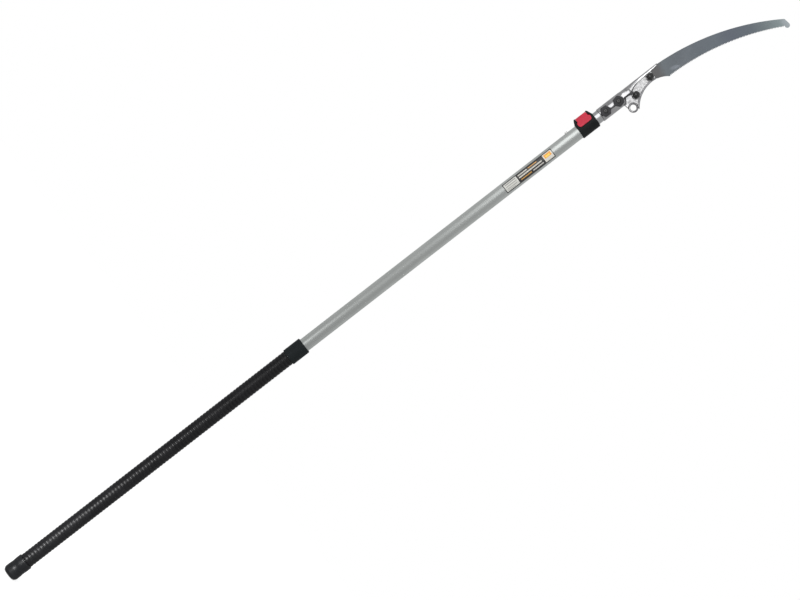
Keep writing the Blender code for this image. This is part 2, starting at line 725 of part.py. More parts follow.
def socket_and_rail():
    """The oval socket, scooped away on its low side into a rail that thins out to the beak."""
    scoop_start = INNER_TUBE_END + SOCKET_WALL
    tip = HEAD_START + BEAK_REACH
    heights = [HEAD_START + SOCKET_WALL / 2]
    heights += [scoop_start + SCOOP_LENGTH * i / 5 for i in range(6)]
    rail_start = heights[-1]
    heights += [rail_start + (tip - rail_start) * i / 8 for i in range(1, 9)]
    rings = [rail_ring(HEAD_START, SOCKET_WALL / 3)]
    rings += [rail_ring(z) for z in heights]
    return skin("saw_head", rings)


def underside(z, offset=0.0):
    """The hollow under the head, as x at that height. Offset moves the edge up into the metal."""
    rise = z - UNDERSIDE_HEIGHT
    radius = (UNDERSIDE_UPPER_RADIUS if rise > 0 else UNDERSIDE_LOWER_RADIUS) + offset
    return UNDERSIDE_DROP - offset + radius - math.sqrt(radius * radius - rise * rise)


def underside_points(start, end, steps, offset=0.0):
    heights = [start + (end - start) * i / steps for i in range(steps + 1)]
    return [Vector((underside(z, offset), z)) for z in heights]


def web():
    """Plate from the socket to the blade, with a raised rim and the hollow underside."""
    end = HEAD_START + WEB_REACH
    foot = INNER_TUBE_END - 2 * SOCKET_WALL
    top = RAIL_TOP + SOCKET_WALL
    corner = WEB_RIM_WIDTH
    eye_reach = EYE_RADIUS - SOCKET_WALL / 2
    first, last = [math.radians(angle) for angle in EYE_JOIN_ANGLES]
    outline = [Vector((top, foot)), Vector((top, end - corner)), Vector((top + corner, end))]
    outline += [Vector((underside(end) - corner, end))]
    outline += underside_points(end - corner, HEAD_START + UNDERSIDE_START, 12)
    outline += arc(EYE, eye_reach, first, last, 8)
    outline += [Vector((EYE.x - EYE_RADIUS / 2, EYE.y - eye_reach)), Vector((SOCKET_BORE.x, foot))]
    depth = WEB_RIM_HALF_DEPTH
    rim = (WEB_RIM_WIDTH, WEB_POCKET_DEPTH)
    return extrude("web", upright(outline, -depth), (0, 2 * depth, 0), rim)


def eye_ring():
    """Ring eye with rounded edges, about a Y axis."""
    half = EYE_HALF_DEPTH
    edge = EYE_EDGE
    profile = [
        (EYE_HOLE_RADIUS, -half + edge),
        (EYE_HOLE_RADIUS + edge, -half),
        (EYE_RADIUS - edge, -half),
        (EYE_RADIUS, -half + edge),
        (EYE_RADIUS, half - edge),
        (EYE_RADIUS - edge, half),
        (EYE_HOLE_RADIUS + edge, half),
        (EYE_HOLE_RADIUS, half - edge),
    ]
    rings = [ring_about_y(EYE, radius, y) for radius, y in profile]
    return skin("eye_ring", rings, hollow=True)


def saw_head():
    """The casting: socket, rail, web and eye in one, with its bores and the blade's slot."""
    made = socket_and_rail()
    combine(made, web(), "UNION")
    across = 2 * EYE_HALF_DEPTH
    eye_disc = rod_y("eye_disc", EYE, (EYE_HOLE_RADIUS + EYE_RADIUS) / 2, -across, across)
    combine(made, eye_disc, "DIFFERENCE")
    combine(made, eye_ring(), "UNION")
    for i, centre in enumerate(BLADE_BOLTS):
        reach = BLADE_BOSS_HALF_DEPTH
        combine(made, rod_y(f"blade_boss_{i}", centre, BLADE_BOSS_RADIUS, -reach, reach), "UNION")
    for i, height in enumerate(HEAD_BOLT_HEIGHTS):
        centre = Vector((0, height))
        combine(made, rod_y(f"knob_boss_{i}", centre, KNOB_BOSS_RADIUS, -KNOB_SEAT, KNOB_SEAT), "UNION")
    bore = oval_rod("socket_bore", SOCKET_BORE, HEAD_START - SOCKET_DEPTH, INNER_TUBE_END + SEAT_GAP)
    combine(made, bore, "DIFFERENCE")
    half_slot = BLADE_THICKNESS / 2 + SLOT_GAP
    slot = extrude("tang_slot", upright(slot_outline(), -half_slot), (0, 2 * half_slot, 0))
    combine(made, slot, "DIFFERENCE")
    for i, height in enumerate(HEAD_BOLT_HEIGHTS):
        combine(made, head_bolt_hole(f"head_bolt_hole_{i}", height), "DIFFERENCE")
    for i, centre in enumerate(BLADE_BOLTS):
        combine(made, blade_bolt_hole(f"head_blade_hole_{i}", centre), "DIFFERENCE")
    return made


def blade_bolt_hole(name, centre):
    reach = 2 * BLADE_BOSS_HALF_DEPTH
    return rod_y(name, centre, BLADE_BOLT_RADIUS + HOLE_GAP, -reach, reach, SMALL_SEGMENTS)


def tang_end(gap):
    """Round lower end of the tang, about the lower blade bolt, from its low side to its top side."""
    return arc(BLADE_BOLTS[0], TANG_END_RADIUS + gap, 0.0, -math.radians(TANG_END_SWEEP), 10)


def slot_outline():
    """The tang's outline with its clearance, run out past the head's end."""
    past = HEAD_START + BEAK_REACH + SCOOP_LENGTH
    web_end = HEAD_START + WEB_REACH
    inside = TANG_EDGE_COVER - SLOT_GAP
    points = [Vector((-TANG_TOP - SLOT_GAP, past))]
    points.append(Vector((-TANG_TOP - SLOT_GAP, BLADE_BOLTS[1].y - SLOT_GAP)))
    points += tang_end(SLOT_GAP)[::-1]
    points += underside_points(tang_exit(), web_end, 8, inside)
    points += [Vector((underside(web_end, inside), web_end + SCOOP_LENGTH)), Vector((0, past))]
    return points


def tang_exit():
    """Height at which the tang's low edge leaves its round end for the underside's curve."""
    return BLADE_BOLTS[0].y + TANG_EXIT


def on_blade(centre, radius, angle):
    """A point on one of the blade's long arcs, whose angle grows from the head to the tip."""
    return centre + radius * Vector((-math.cos(angle), math.sin(angle)))


def along(centre, point):
    """The angle of a point about the centre of one of the blade's long arcs."""
    return math.atan2(point.y - centre.y, centre.x - point.x)


def spine_start():
    """The angle at which the spine leaves the beak."""
    rise = HEAD_START + BEAK_REACH + SEAT_GAP - SPINE_CENTRE.y
    return math.asin(rise / SPINE_RADIUS)


def heel():
    """Where the hollow under the head ends at the first tooth."""
    z = HEAD_START + HEEL_HEIGHT
    return Vector((underside(z), z))


def tip():
    """The angle of the tip's back corner on the spine, its centre and the centre of the hook."""
    angle = spine_start() + SPINE_LENGTH / SPINE_RADIUS
    corner = on_blade(SPINE_CENTRE, SPINE_RADIUS - TIP_CORNER_RADIUS, angle)
    forward = Vector((math.sin(angle), math.cos(angle)))
    inward = Vector((math.cos(angle), -math.sin(angle)))
    return angle, corner, corner + HOOK_DROP * inward + HOOK_FORWARD * forward


def edge_centre():
    """Centre of the arc of tooth tips, which runs from the heel to a little below the hook's centre."""
    angle, corner, hook = tip()
    end = hook + HOOK_ABOVE_EDGE * Vector((math.cos(angle), -math.sin(angle)))
    half = (end - heel()) / 2
    across = Vector((half.y, -half.x)).normalized()
    return heel() + half + across * math.sqrt(EDGE_RADIUS**2 - half.length_squared)


def toothed_angles():
    """Where the teeth start and end, as angles on the arc of their tips."""
    centre = edge_centre()
    angle, corner, hook = tip()
    return along(centre, heel()), along(centre, hook) - HOOK_AFTER_TEETH / EDGE_RADIUS


def tooth_count():
    first, last = toothed_angles()
    return round((last - first) * EDGE_RADIUS / TOOTH_PITCH)


def tip_chains():
    """Rounded back corner and the round hook past the teeth, as two chains that end on the tip."""
    centre = edge_centre()
    corner_angle, corner, hook = tip()
    run = hook - corner
    facing = math.atan2(run.y, run.x) + math.acos((TIP_CORNER_RADIUS - HOOK_RADIUS) / run.length)
    corner_points = arc(corner, TIP_CORNER_RADIUS, math.pi - corner_angle, facing, 6)
    root_radius = EDGE_RADIUS + TOOTH_DEPTH
    hook_distance = (hook - centre).length
    spread = hook_distance**2 + root_radius**2 - HOOK_RADIUS**2
    root_angle = along(centre, hook) - math.acos(spread / (2 * hook_distance * root_radius))
    last = on_blade(centre, root_radius, root_angle) - hook
    return corner_points, arc(hook, HOOK_RADIUS, math.atan2(last.y, last.x), facing, 9)


def blade_back():
    """Top chain: round the tang's end, along under the rail, then the spine to the tip."""
    start = HEAD_START + BEAK_REACH + SEAT_GAP
    first = spine_start()
    points = tang_end(0.0)[5:]
    points += [Vector((-TANG_TOP, BLADE_BOLTS[1].y)), Vector((-TANG_TOP, start))]
    for i in range(SPINE_SEGMENTS):
        angle = first + SPINE_LENGTH / SPINE_RADIUS * i / SPINE_SEGMENTS
        points.append(on_blade(SPINE_CENTRE, SPINE_RADIUS, angle))
    return points + tip_chains()[0]


def blade_front():
    """Bottom chain: the tang's low edge, the hollow, the tooth roots and the hook."""
    web_end = HEAD_START + WEB_REACH + SEAT_GAP
    points = tang_end(0.0)[4::-1]
    points += underside_points(tang_exit(), web_end, 8, TANG_EDGE_COVER)
    points += underside_points(web_end + TOOTH_DEPTH, HEAD_START + HEEL_HEIGHT, 7)
    first_root = len(points)
    first, last = toothed_angles()
    for i in range(1, tooth_count() + 1):
        root = first + (last - first) * i / tooth_count()
        points.append(on_blade(edge_centre(), EDGE_RADIUS + TOOTH_DEPTH, root))
    return points + tip_chains()[1], first_root


def half_thickness(point):
    """Full at the teeth and the tang, thinner along the ground spine."""
    ground_from = HEAD_START + BEAK_REACH
    height = heel().x - RAIL_TOP
    share = min(max((SPINE_RADIUS - (point - SPINE_CENTRE).length) / height, 0.0), 1.0)
    fade = ease((point.y - ground_from) / height)
    return (BLADE_THICKNESS - fade * (1 - share) * (BLADE_THICKNESS - SPINE_THICKNESS)) / 2


def sides_of(bm, point):
    half = half_thickness(point)
    return bm.verts.new((point.x, -half, point.y)), bm.verts.new((point.x, half, point.y))


def wall(bm, first, second):
    bm.faces.new((first[0], first[1], second[1], second[0]))


def blade():
    """Taper-ground blade, both sides filled from chain to chain, then a tooth on every pair of roots."""
    back = blade_back()
    front, first_root = blade_front()
    bm = bmesh.new()
    back_verts = [sides_of(bm, point) for point in back]
    front_verts = [sides_of(bm, point) for point in front]
    i = 0
    j = 0
    wall(bm, back_verts[0], front_verts[0])
    while i < len(back) - 1 or j < len(front) - 1:
        on_back = j == len(front) - 1
        if i < len(back) - 1 and not on_back:
            on_back = along(SPINE_CENTRE, back[i + 1]) < along(SPINE_CENTRE, front[j + 1])
        if on_back:
            fill = (back_verts[i], front_verts[j], back_verts[i + 1])
            wall(bm, back_verts[i], back_verts[i + 1])
            i += 1
        else:
            fill = (back_verts[i], front_verts[j], front_verts[j + 1])
            if not first_root <= j + 1 < first_root + tooth_count():
                wall(bm, front_verts[j], front_verts[j + 1])
            j += 1
        for side in (0, 1):
            bm.faces.new([pair[side] for pair in fill])
    wall(bm, back_verts[-1], front_verts[-1])
    for tooth in range(tooth_count()):
        add_tooth(bm, front, front_verts, first_root - 1 + tooth, tooth)
    made = finish(bm, "blade", 20.0)
    for i, centre in enumerate(BLADE_BOLTS):
        combine(made, blade_bolt_hole(f"tang_hole_{i}", centre), "DIFFERENCE")
    return made


def add_tooth(bm, front, front_verts, place, tooth):
    """A leaning tooth, bevelled on its front side and its back side in turn."""
    low = front_verts[place]
    high = front_verts[place + 1]
    foot = front[place].lerp(front[place + 1], 1 - TOOTH_LEAN)
    centre = edge_centre()
    outward = (centre - foot).normalized()
    half = BLADE_THICKNESS / 2
    ends = []
    for side, y in enumerate((-half, half)):
        drawn_in = TOOTH_BEVEL if (tooth + side) % 2 else 0.0
        end = centre - outward * (EDGE_RADIUS + drawn_in)
        ends.append(bm.verts.new((end.x, y, end.y)))
        bm.faces.new((low[side], ends[side], high[side]))
    wall(bm, low, ends)
    wall(bm, ends, high)


def head_knob(name, height, turn):
    """Black moulded hexagon under a head bolt's head, with a round recess for it."""
    seat = -KNOB_SEAT - SEAT_GAP
    top = seat - KNOB_HEIGHT
    floor = top + KNOB_RECESS
    full = hexagon(KNOB_ACROSS_FLATS)
    smaller = hexagon(KNOB_ACROSS_FLATS - 2 * KNOB_EDGE)
    recess = BOLT_HEAD_RADIUS + HOLE_GAP
    hole = HEAD_BOLT_RADIUS + HOLE_GAP
    steps = [
        (smaller, seat),
        (full, seat - KNOB_EDGE),
        (full, top + KNOB_EDGE),
        (smaller, top),
        (recess, top),
        (recess, floor),
        (hole, floor),
        (hole, seat),
    ]
    return turned(name, Vector((0, height)), steps, turn, hollow=True)


def head_bolt(name, height):
    """Socket head bolt from the knob's recess to the nut on the back."""
    under_head = -KNOB_SEAT - KNOB_HEIGHT + KNOB_RECESS - 2 * SEAT_GAP
    top = under_head - BOLT_HEAD_HEIGHT
    edge = KNOB_EDGE / 2
    socket = hexagon(BOLT_SOCKET_ACROSS_FLATS)
    end = KNOB_SEAT + WASHER_THICKNESS + NUT_HEIGHT + 3 * SEAT_GAP + THREAD_END
    steps = [
        (socket, top + BOLT_HEAD_HEIGHT / 2),
        (socket, top),
        (BOLT_HEAD_RADIUS - edge, top),
        (BOLT_HEAD_RADIUS, top + edge),
        (BOLT_HEAD_RADIUS, under_head),
        (HEAD_BOLT_RADIUS, under_head),
        (HEAD_BOLT_RADIUS, end - edge),
        (HEAD_BOLT_RADIUS - edge, end),
    ]
    return turned(name, Vector((0, height)), steps)


def head_washer(name, height):
    start = KNOB_SEAT + SEAT_GAP
    end = start + WASHER_THICKNESS
    hole = HEAD_BOLT_RADIUS + HOLE_GAP
    steps = [(WASHER_RADIUS, start), (WASHER_RADIUS, end), (hole, end), (hole, start)]
    return turned(name, Vector((0, height)), steps, hollow=True)


def head_nut(name, height):
    start = KNOB_SEAT + WASHER_THICKNESS + 2 * SEAT_GAP
    end = start + NUT_HEIGHT
    hole = HEAD_BOLT_RADIUS + HOLE_GAP
    edge = KNOB_EDGE / 2
    full = hexagon(NUT_ACROSS_FLATS)
    steps = [
        (full, start),
        (full, end - edge),
        (NUT_ACROSS_FLATS / 2, end),
        (hole, end),
        (hole, start),
    ]
    return turned(name, Vector((0, height)), steps, hollow=True)


def blade_bolt(name, centre):
    """Button head bolt from the back, ending inside the cap nut."""
    seat = BLADE_BOSS_HALF_DEPTH + SEAT_GAP
    end = -BLADE_BOSS_HALF_DEPTH - BLADE_BOLT_END
    head = dome(BLADE_BOLT_HEAD_RADIUS, seat, BLADE_BOLT_HEAD_HEIGHT, 3)
    socket = hexagon(BOLT_SOCKET_ACROSS_FLATS)
    steps = [(BLADE_BOLT_RADIUS, end), (BLADE_BOLT_RADIUS, seat)] + head
    steps += [(socket, head[-1][1]), (socket, seat + BLADE_BOLT_HEAD_HEIGHT / 3)]
    return turned(name, centre, steps)


def cap_nut(name, centre, turn):
    """Domed hexagon nut on the front."""
    seat = -BLADE_BOSS_HALF_DEPTH - SEAT_GAP
    bore = BLADE_BOLT_RADIUS + HOLE_GAP
    full = hexagon(CAP_NUT_ACROSS_FLATS)
    flats = CAP_NUT_ACROSS_FLATS / 2
    hex_top = seat - CAP_NUT_HEX_HEIGHT
    steps = [
        (bore, -BLADE_BOSS_HALF_DEPTH - BLADE_BOLT_END - 2 * SEAT_GAP),
        (bore, seat),
        (flats, seat),
        (full, seat - CAP_NUT_EDGE),
        (full, hex_top + CAP_NUT_EDGE),
        (flats, hex_top),
    ]
    steps += dome(CAP_NUT_DOME_RADIUS, hex_top, -CAP_NUT_DOME_HEIGHT, 4)
    return turned(name, centre, steps, turn, count=ROUND_SEGMENTS)


def build():
    black_rubber = material("black_rubber", (0.022, 0.022, 0.024), 0.62, 0.0)
    black_plastic = material("black_plastic", (0.020, 0.021, 0.022), 0.45, 0.0)
    red_plastic = material("red_plastic", (0.62, 0.035, 0.065), 0.35, 0.0)
    tube_aluminium = material("tube_aluminium", (0.48, 0.49, 0.49), 0.42, 0.9)
    cast_aluminium = material("cast_aluminium", (0.62, 0.62, 0.63), 0.30, 1.0)
    blade_steel = material("blade_steel", (0.20, 0.23, 0.25), 0.35, 0.9)
    plain_steel = material("plain_steel", (0.50, 0.50, 0.50), 0.35, 1.0)
    dark_steel = material("dark_steel", (0.05, 0.05, 0.055), 0.35, 0.8)

    inner_anchor = anchor("inner_pole_slide", (0, 0, CLAMP_END))
    lever_anchor = anchor("clamp_lever_axis", (PIVOT.x, PIVOT.y, CLAMP_MIDDLE))
    button_anchor = anchor("lock_button_axis", (-OUTER_HALF.x, 0, LOCK_HEIGHT))

    fixed = [
        (end_cap(), black_rubber),
        (butt_plug(), black_plastic),
        (rubber_grip(), black_rubber),
        (grip_collar(), black_rubber),
        (outer_tube(), tube_aluminium),
        (clamp_housing(), black_plastic),
        (pressure_shoe(), black_plastic),
        (lever_pin(), plain_steel),
    ]
    for name, height in zip(("clamp_screw_lower", "clamp_screw_upper"), clamp_screw_heights()):
        fixed.append((clamp_screw(name, height), plain_steel))

    sliding = [
        (inner_tube(), tube_aluminium),
        (foot_bush(), black_plastic),
        (tube_core(), black_plastic),
        (saw_head(), cast_aluminium),
        (blade(), blade_steel),
        (lock_spring("lock_spring", LOCK_HEIGHT, 0.0), plain_steel),
    ]
    pressed = button_press_travel()
    sliding.append((lock_button("extension_lock_button", EXTENSION_LOCK_HEIGHT, pressed), plain_steel))
    sliding.append((lock_spring("extension_lock_spring", EXTENSION_LOCK_HEIGHT, pressed), plain_steel))
    for place, height, turn in zip(("lower", "upper"), HEAD_BOLT_HEIGHTS, KNOB_TURNS):
        sliding.append((head_knob(f"head_knob_{place}", height, turn), black_plastic))
        sliding.append((head_bolt(f"head_bolt_{place}", height), dark_steel))
        sliding.append((head_washer(f"head_washer_{place}", height), plain_steel))
        sliding.append((head_nut(f"head_nut_{place}", height), plain_steel))
    for place, centre, turn in zip(("lower", "upper"), BLADE_BOLTS, CAP_NUT_TURNS):
        sliding.append((blade_bolt(f"blade_bolt_{place}", centre), dark_steel))
        sliding.append((cap_nut(f"cap_nut_{place}", centre, turn), dark_steel))

    for obj, finish_material in fixed:
        obj.data.materials.append(finish_material)
    for obj, finish_material in sliding:
        obj.data.materials.append(finish_material)
        place_on(obj, inner_anchor)

    lever = clamp_lever()
    lever.data.materials.append(red_plastic)
    place_on(lever, lever_anchor)

    button = lock_button("lock_button", LOCK_HEIGHT, 0.0)
    button.data.materials.append(plain_steel)
    place_on(button, button_anchor)
    place_on(button_anchor, inner_anchor)


build()
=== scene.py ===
# A telescopic pole saw dressed for its picture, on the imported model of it.
# Metres, +Z up the pole, knobs and clamp lever towards -Y, blade curving over to +X.
import math

import bpy
from mathutils import Matrix, Vector
from mathutils.geometry import convex_hull_2d


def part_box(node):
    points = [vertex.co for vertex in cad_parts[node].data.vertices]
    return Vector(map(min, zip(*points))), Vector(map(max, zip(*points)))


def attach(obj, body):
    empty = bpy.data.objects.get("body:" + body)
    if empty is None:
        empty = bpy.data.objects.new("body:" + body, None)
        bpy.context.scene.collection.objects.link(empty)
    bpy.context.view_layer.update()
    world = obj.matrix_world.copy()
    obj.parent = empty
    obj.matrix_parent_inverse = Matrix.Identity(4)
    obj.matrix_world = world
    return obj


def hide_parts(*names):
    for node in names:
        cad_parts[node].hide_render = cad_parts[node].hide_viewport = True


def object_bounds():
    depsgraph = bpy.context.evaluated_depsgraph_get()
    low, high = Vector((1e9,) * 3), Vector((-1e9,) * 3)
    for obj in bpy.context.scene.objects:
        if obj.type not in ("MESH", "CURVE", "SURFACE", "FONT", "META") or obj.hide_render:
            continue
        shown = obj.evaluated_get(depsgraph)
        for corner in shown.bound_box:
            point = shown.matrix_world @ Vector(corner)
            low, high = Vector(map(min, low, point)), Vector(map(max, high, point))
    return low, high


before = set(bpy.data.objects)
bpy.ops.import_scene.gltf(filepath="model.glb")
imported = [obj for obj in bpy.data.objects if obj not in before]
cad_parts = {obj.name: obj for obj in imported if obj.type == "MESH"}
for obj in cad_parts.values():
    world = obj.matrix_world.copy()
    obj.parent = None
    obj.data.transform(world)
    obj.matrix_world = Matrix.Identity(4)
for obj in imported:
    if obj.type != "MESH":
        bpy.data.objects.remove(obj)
cadLow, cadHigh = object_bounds()
print("frame loaded:", len(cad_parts), "nodes")


# hand tools

def deselectAll():
    if bpy.context.object and bpy.context.object.mode != "OBJECT":
        bpy.ops.object.mode_set(mode="OBJECT")
    bpy.ops.object.select_all(action="DESELECT")


def pick(piece):
    deselectAll()
    piece.select_set(True)
    bpy.context.view_layer.objects.active = piece


def editAll(piece):
    pick(piece)
    bpy.ops.object.mode_set(mode="EDIT")
    bpy.ops.mesh.select_mode(type="VERT")
    bpy.ops.mesh.select_all(action="SELECT")


# doubles merged, faces out, place and turn moved into the mesh
def settle(piece, name):
    editAll(piece)
    bpy.ops.mesh.remove_doubles(threshold=0.000002)
    bpy.ops.mesh.normals_make_consistent(inside=False)
    bpy.ops.object.mode_set(mode="OBJECT")
    bpy.ops.object.transform_apply(location=True, rotation=True, scale=True)
    piece.name = name
    piece.data.name = name
    return piece


def smoothBy(piece, degrees):
    pick(piece)
    bpy.ops.object.shade_smooth_by_angle(angle=math.radians(degrees))


def modify(piece, kind, **settings):
    pick(piece)
    added = piece.modifiers.new(kind.title(), kind)
    for key, value in settings.items():
        setattr(added, key, value)
    bpy.ops.object.modifier_apply(modifier=added.name)


def bevelEdges(piece, width, segments=3, degrees=40):
    modify(piece, "BEVEL", width=width, segments=segments, limit_method="ANGLE",
           angle_limit=math.radians(degrees), harden_normals=False)


def cutAway(piece, tool):
    modify(piece, "BOOLEAN", operation="DIFFERENCE", solver="EXACT", object=tool, material_mode="TRANSFER")
    bpy.data.objects.remove(tool)


def fuse(piece, tool):
    modify(piece, "BOOLEAN", operation="UNION", solver="EXACT", object=tool)
    bpy.data.objects.remove(tool)


def keepInside(piece, tool):
    modify(piece, "BOOLEAN", operation="INTERSECT", solver="EXACT", object=tool)
    bpy.data.objects.remove(tool)


def moveBy(step):
    bpy.ops.mesh.extrude_region_move(TRANSFORM_OT_translate={"value": tuple(step)})


def joinTo(piece, others):
    pick(piece)
    for other in others:
        other.select_set(True)
    bpy.ops.object.join()


# an oval extruded from ring to ring; a ring is half width, half depth, height and shift in x.
# Its ends are closed, or bridged into a tube's wall, or left open.
def ringStack(name, rings, count=72, ends="closed"):
    rings = [tuple(ring) + (0.0,) * (4 - len(ring)) for ring in rings]
    halfX, halfY, z, shift = rings[0]
    deselectAll()
    bpy.ops.mesh.primitive_circle_add(vertices=count, radius=1, location=(shift, 0, z),
                                      fill_type="NGON" if ends == "closed" else "NOTHING")
    piece = bpy.context.object
    editAll(piece)
    bpy.ops.transform.resize(value=(halfX, halfY, 1), center_override=(shift, 0, z))
    for nextX, nextY, nextZ, nextShift in rings[1:]:
        moveBy((nextShift - shift, 0, nextZ - z))
        bpy.ops.transform.resize(value=(nextX / halfX, nextY / halfY, 1), center_override=(nextShift, 0, nextZ))
        halfX, halfY, z, shift = nextX, nextY, nextZ, nextShift
    if ends == "bridged":
        bridgeOpenEdges()
    return settle(piece, name)


def selectOpenEdges():
    bpy.ops.mesh.select_all(action="DESELECT")
    bpy.ops.mesh.select_non_manifold()


def bridgeOpenEdges():
    selectOpenEdges()
    bpy.ops.mesh.bridge_edge_loops()


# the same about a Y axis through (x, z); a step is radius and distance towards -Y
def turnedPiece(name, centre, steps, count=48, ends="closed"):
    piece = ringStack(name, [(radius, radius, away) for radius, away in steps], count, ends)
    standAlongY(piece, centre)
    return settle(piece, name)


# screw_lower from clamp_screw_lower
def nameFrom(kind, node):
    return kind + "_" + node.split("_")[-1]


def standAlongY(piece, centre, turn=0.0):
    piece.rotation_euler = (math.radians(90), math.radians(turn), 0)
    piece.location = (centre[0], 0, centre[1])


# a chain of points extruded one by one, filled, and given its thickness
def outlinePlate(name, points, along):
    deselectAll()
    bpy.ops.mesh.primitive_plane_add(size=0.001, location=points[0])
    piece = bpy.context.object
    editAll(piece)
    bpy.ops.mesh.merge(type="CENTER")
    for before, after in zip(points, points[1:]):
        moveBy(Vector(after) - Vector(before))
    bpy.ops.mesh.select_all(action="SELECT")
    bpy.ops.mesh.edge_face_add()
    moveBy(along)
    return settle(piece, name)


# a rod along one axis; centre holds its place on the two others
def rod(axis, centre, radius, start, end, count=48):
    place = list(centre)
    place.insert("xyz".index(axis), (start + end) / 2)
    turn = {"x": (0, math.radians(90), 0), "y": (math.radians(90), 0, 0), "z": (0, 0, 0)}[axis]
    deselectAll()
    bpy.ops.mesh.primitive_cylinder_add(vertices=count, radius=radius, depth=end - start, rotation=turn,
                                        location=place)
    return settle(bpy.context.object, "rod")


def blockOf(name, low, high):
    deselectAll()
    middle = [(a + b) / 2 for a, b in zip(low, high)]
    bpy.ops.mesh.primitive_cube_add(size=1, location=middle)
    bpy.context.object.scale = [b - a for a, b in zip(low, high)]
    return settle(bpy.context.object, name)


def ovalBar(name, halfX, halfY, z0, z1, count=96):
    return ringStack(name, [(halfX, halfY, z0), (halfX, halfY, z1)], count)


def arcPoints(centre, radius, first, last, steps):
    turns = [first + (last - first) * i / steps for i in range(steps + 1)]
    return [(centre[0] + radius * math.cos(turn), centre[1] + radius * math.sin(turn)) for turn in turns]


def ease(share):
    share = min(max(share, 0.0), 1.0)
    return share * share * (3 - 2 * share)


# quarter round from a seat in to the axis: radius and distance, step by step
def domeSteps(radius, seat, tall, count, first=0):
    turns = [math.pi / 2 * i / count for i in range(first, count)]
    return [(radius * math.cos(turn), seat + tall * math.sin(turn)) for turn in turns]


# rounding from a wall to a flat end: how far in and how far from the end, ring by ring
def roundingSteps(radius, count):
    turns = [math.pi / 2 * i / count for i in range(count + 1)]
    return [(radius * (1 - math.cos(turn)), radius * (1 - math.sin(turn))) for turn in turns]


# shader tools

# a number or a colour is set on an input, a socket is linked to it
def feedInputs(tree, node, feed):
    for label, value in feed.items():
        if isinstance(value, bpy.types.NodeSocket):
            tree.links.new(value, node.inputs[label])
        else:
            node.inputs[label].default_value = value


def addNode(tree, kind, x, y, feed=None, **settings):
    node = tree.nodes.new("ShaderNode" + kind)
    node.location = (x, y)
    for key, value in settings.items():
        setattr(node, key, value)
    feedInputs(tree, node, feed or {})
    return node


def objectPlace(tree, x, y):
    return addNode(tree, "TexCoord", x, y).outputs["Object"]


def calculate(tree, operation, x, y, *values):
    return addNode(tree, "Math", x, y, dict(enumerate(values)), operation=operation).outputs[0]


def noiseTone(tree, x, y, place, scale, detail):
    return addNode(tree, "TexNoise", x, y, {"Vector": place, "Scale": scale, "Detail": detail}).outputs["Fac"]


def remap(tree, x, y, value, ends, low=0.0, high=1.0, **settings):
    limits = {"Value": value, "From Min": ends[0], "From Max": ends[1], "To Min": low, "To Max": high}
    return addNode(tree, "MapRange", x, y, limits, **settings).outputs[0]


def newGroup(name, inputs, outputs):
    group = bpy.data.node_groups.new(name, "ShaderNodeTree")
    for label in inputs:
        group.interface.new_socket(label, in_out="INPUT", socket_type="NodeSocketFloat")
    for label in outputs:
        group.interface.new_socket(label, in_out="OUTPUT", socket_type="NodeSocketFloat")
    given = group.nodes.new("NodeGroupInput")
    given.location.x = -1300
    return group, given.outputs


def closeGroup(group, results):
    out = group.nodes.new("NodeGroupOutput")
    out.location.x = 600
    feedInputs(group, out, results)
    return group


# fine grain of a moulded or cast surface, and slow cloudy tone over it
def grainGroup():
    group, given = newGroup("surfaceGrain", ["Grain Scale", "Cloud Scale"], ["Height", "Tone"])
    place = objectPlace(group, -900, 300)
    fine = noiseTone(group, -600, 300, place, given["Grain Scale"], 3.0)
    pits = addNode(group, "TexVoronoi", -600, 0, {"Vector": place, "Scale": given["Grain Scale"]}, feature="SMOOTH_F1")
    height = calculate(group, "MULTIPLY_ADD", -300, 200, fine, 0.5, pits.outputs["Distance"])
    cloud = noiseTone(group, -600, -300, place, given["Cloud Scale"], 5.0)
    return closeGroup(group, {"Height": height, "Tone": cloud})


# lines left along the pole by drawing or grinding, and broader streaks of the same run
def drawnGroup():
    group, given = newGroup("drawnLines", ["Across", "Lengthwise"], ["Height", "Streak"])
    run = {"X": given["Across"], "Y": given["Across"], "Z": given["Lengthwise"]}
    scale = addNode(group, "CombineXYZ", -700, 0, run).outputs[0]
    fine = addNode(group, "VectorMath", -500, 200, {0: objectPlace(group, -900, 300), 1: scale}, operation="MULTIPLY")
    broad = addNode(group, "VectorMath", -300, 0, {0: fine.outputs[0], "Scale": 0.22}, operation="SCALE")
    lines = noiseTone(group, -300, 300, fine.outputs[0], 1.0, 2.0)
    streak = noiseTone(group, -100, 0, broad.outputs[0], 1.0, 4.0)
    return closeGroup(group, {"Height": lines, "Streak": streak})


# sparse handling marks: short crossing scratches that show only in rubbed patches
scuffs = {"turns": [(0.5, 0.0, 1.0), (-0.8, 3.1, -1.6)], "lengthwise": 0.06, "finer": 9.0,
          "lines": (0.70, 0.76), "rubbed": (0.48, 0.72)}


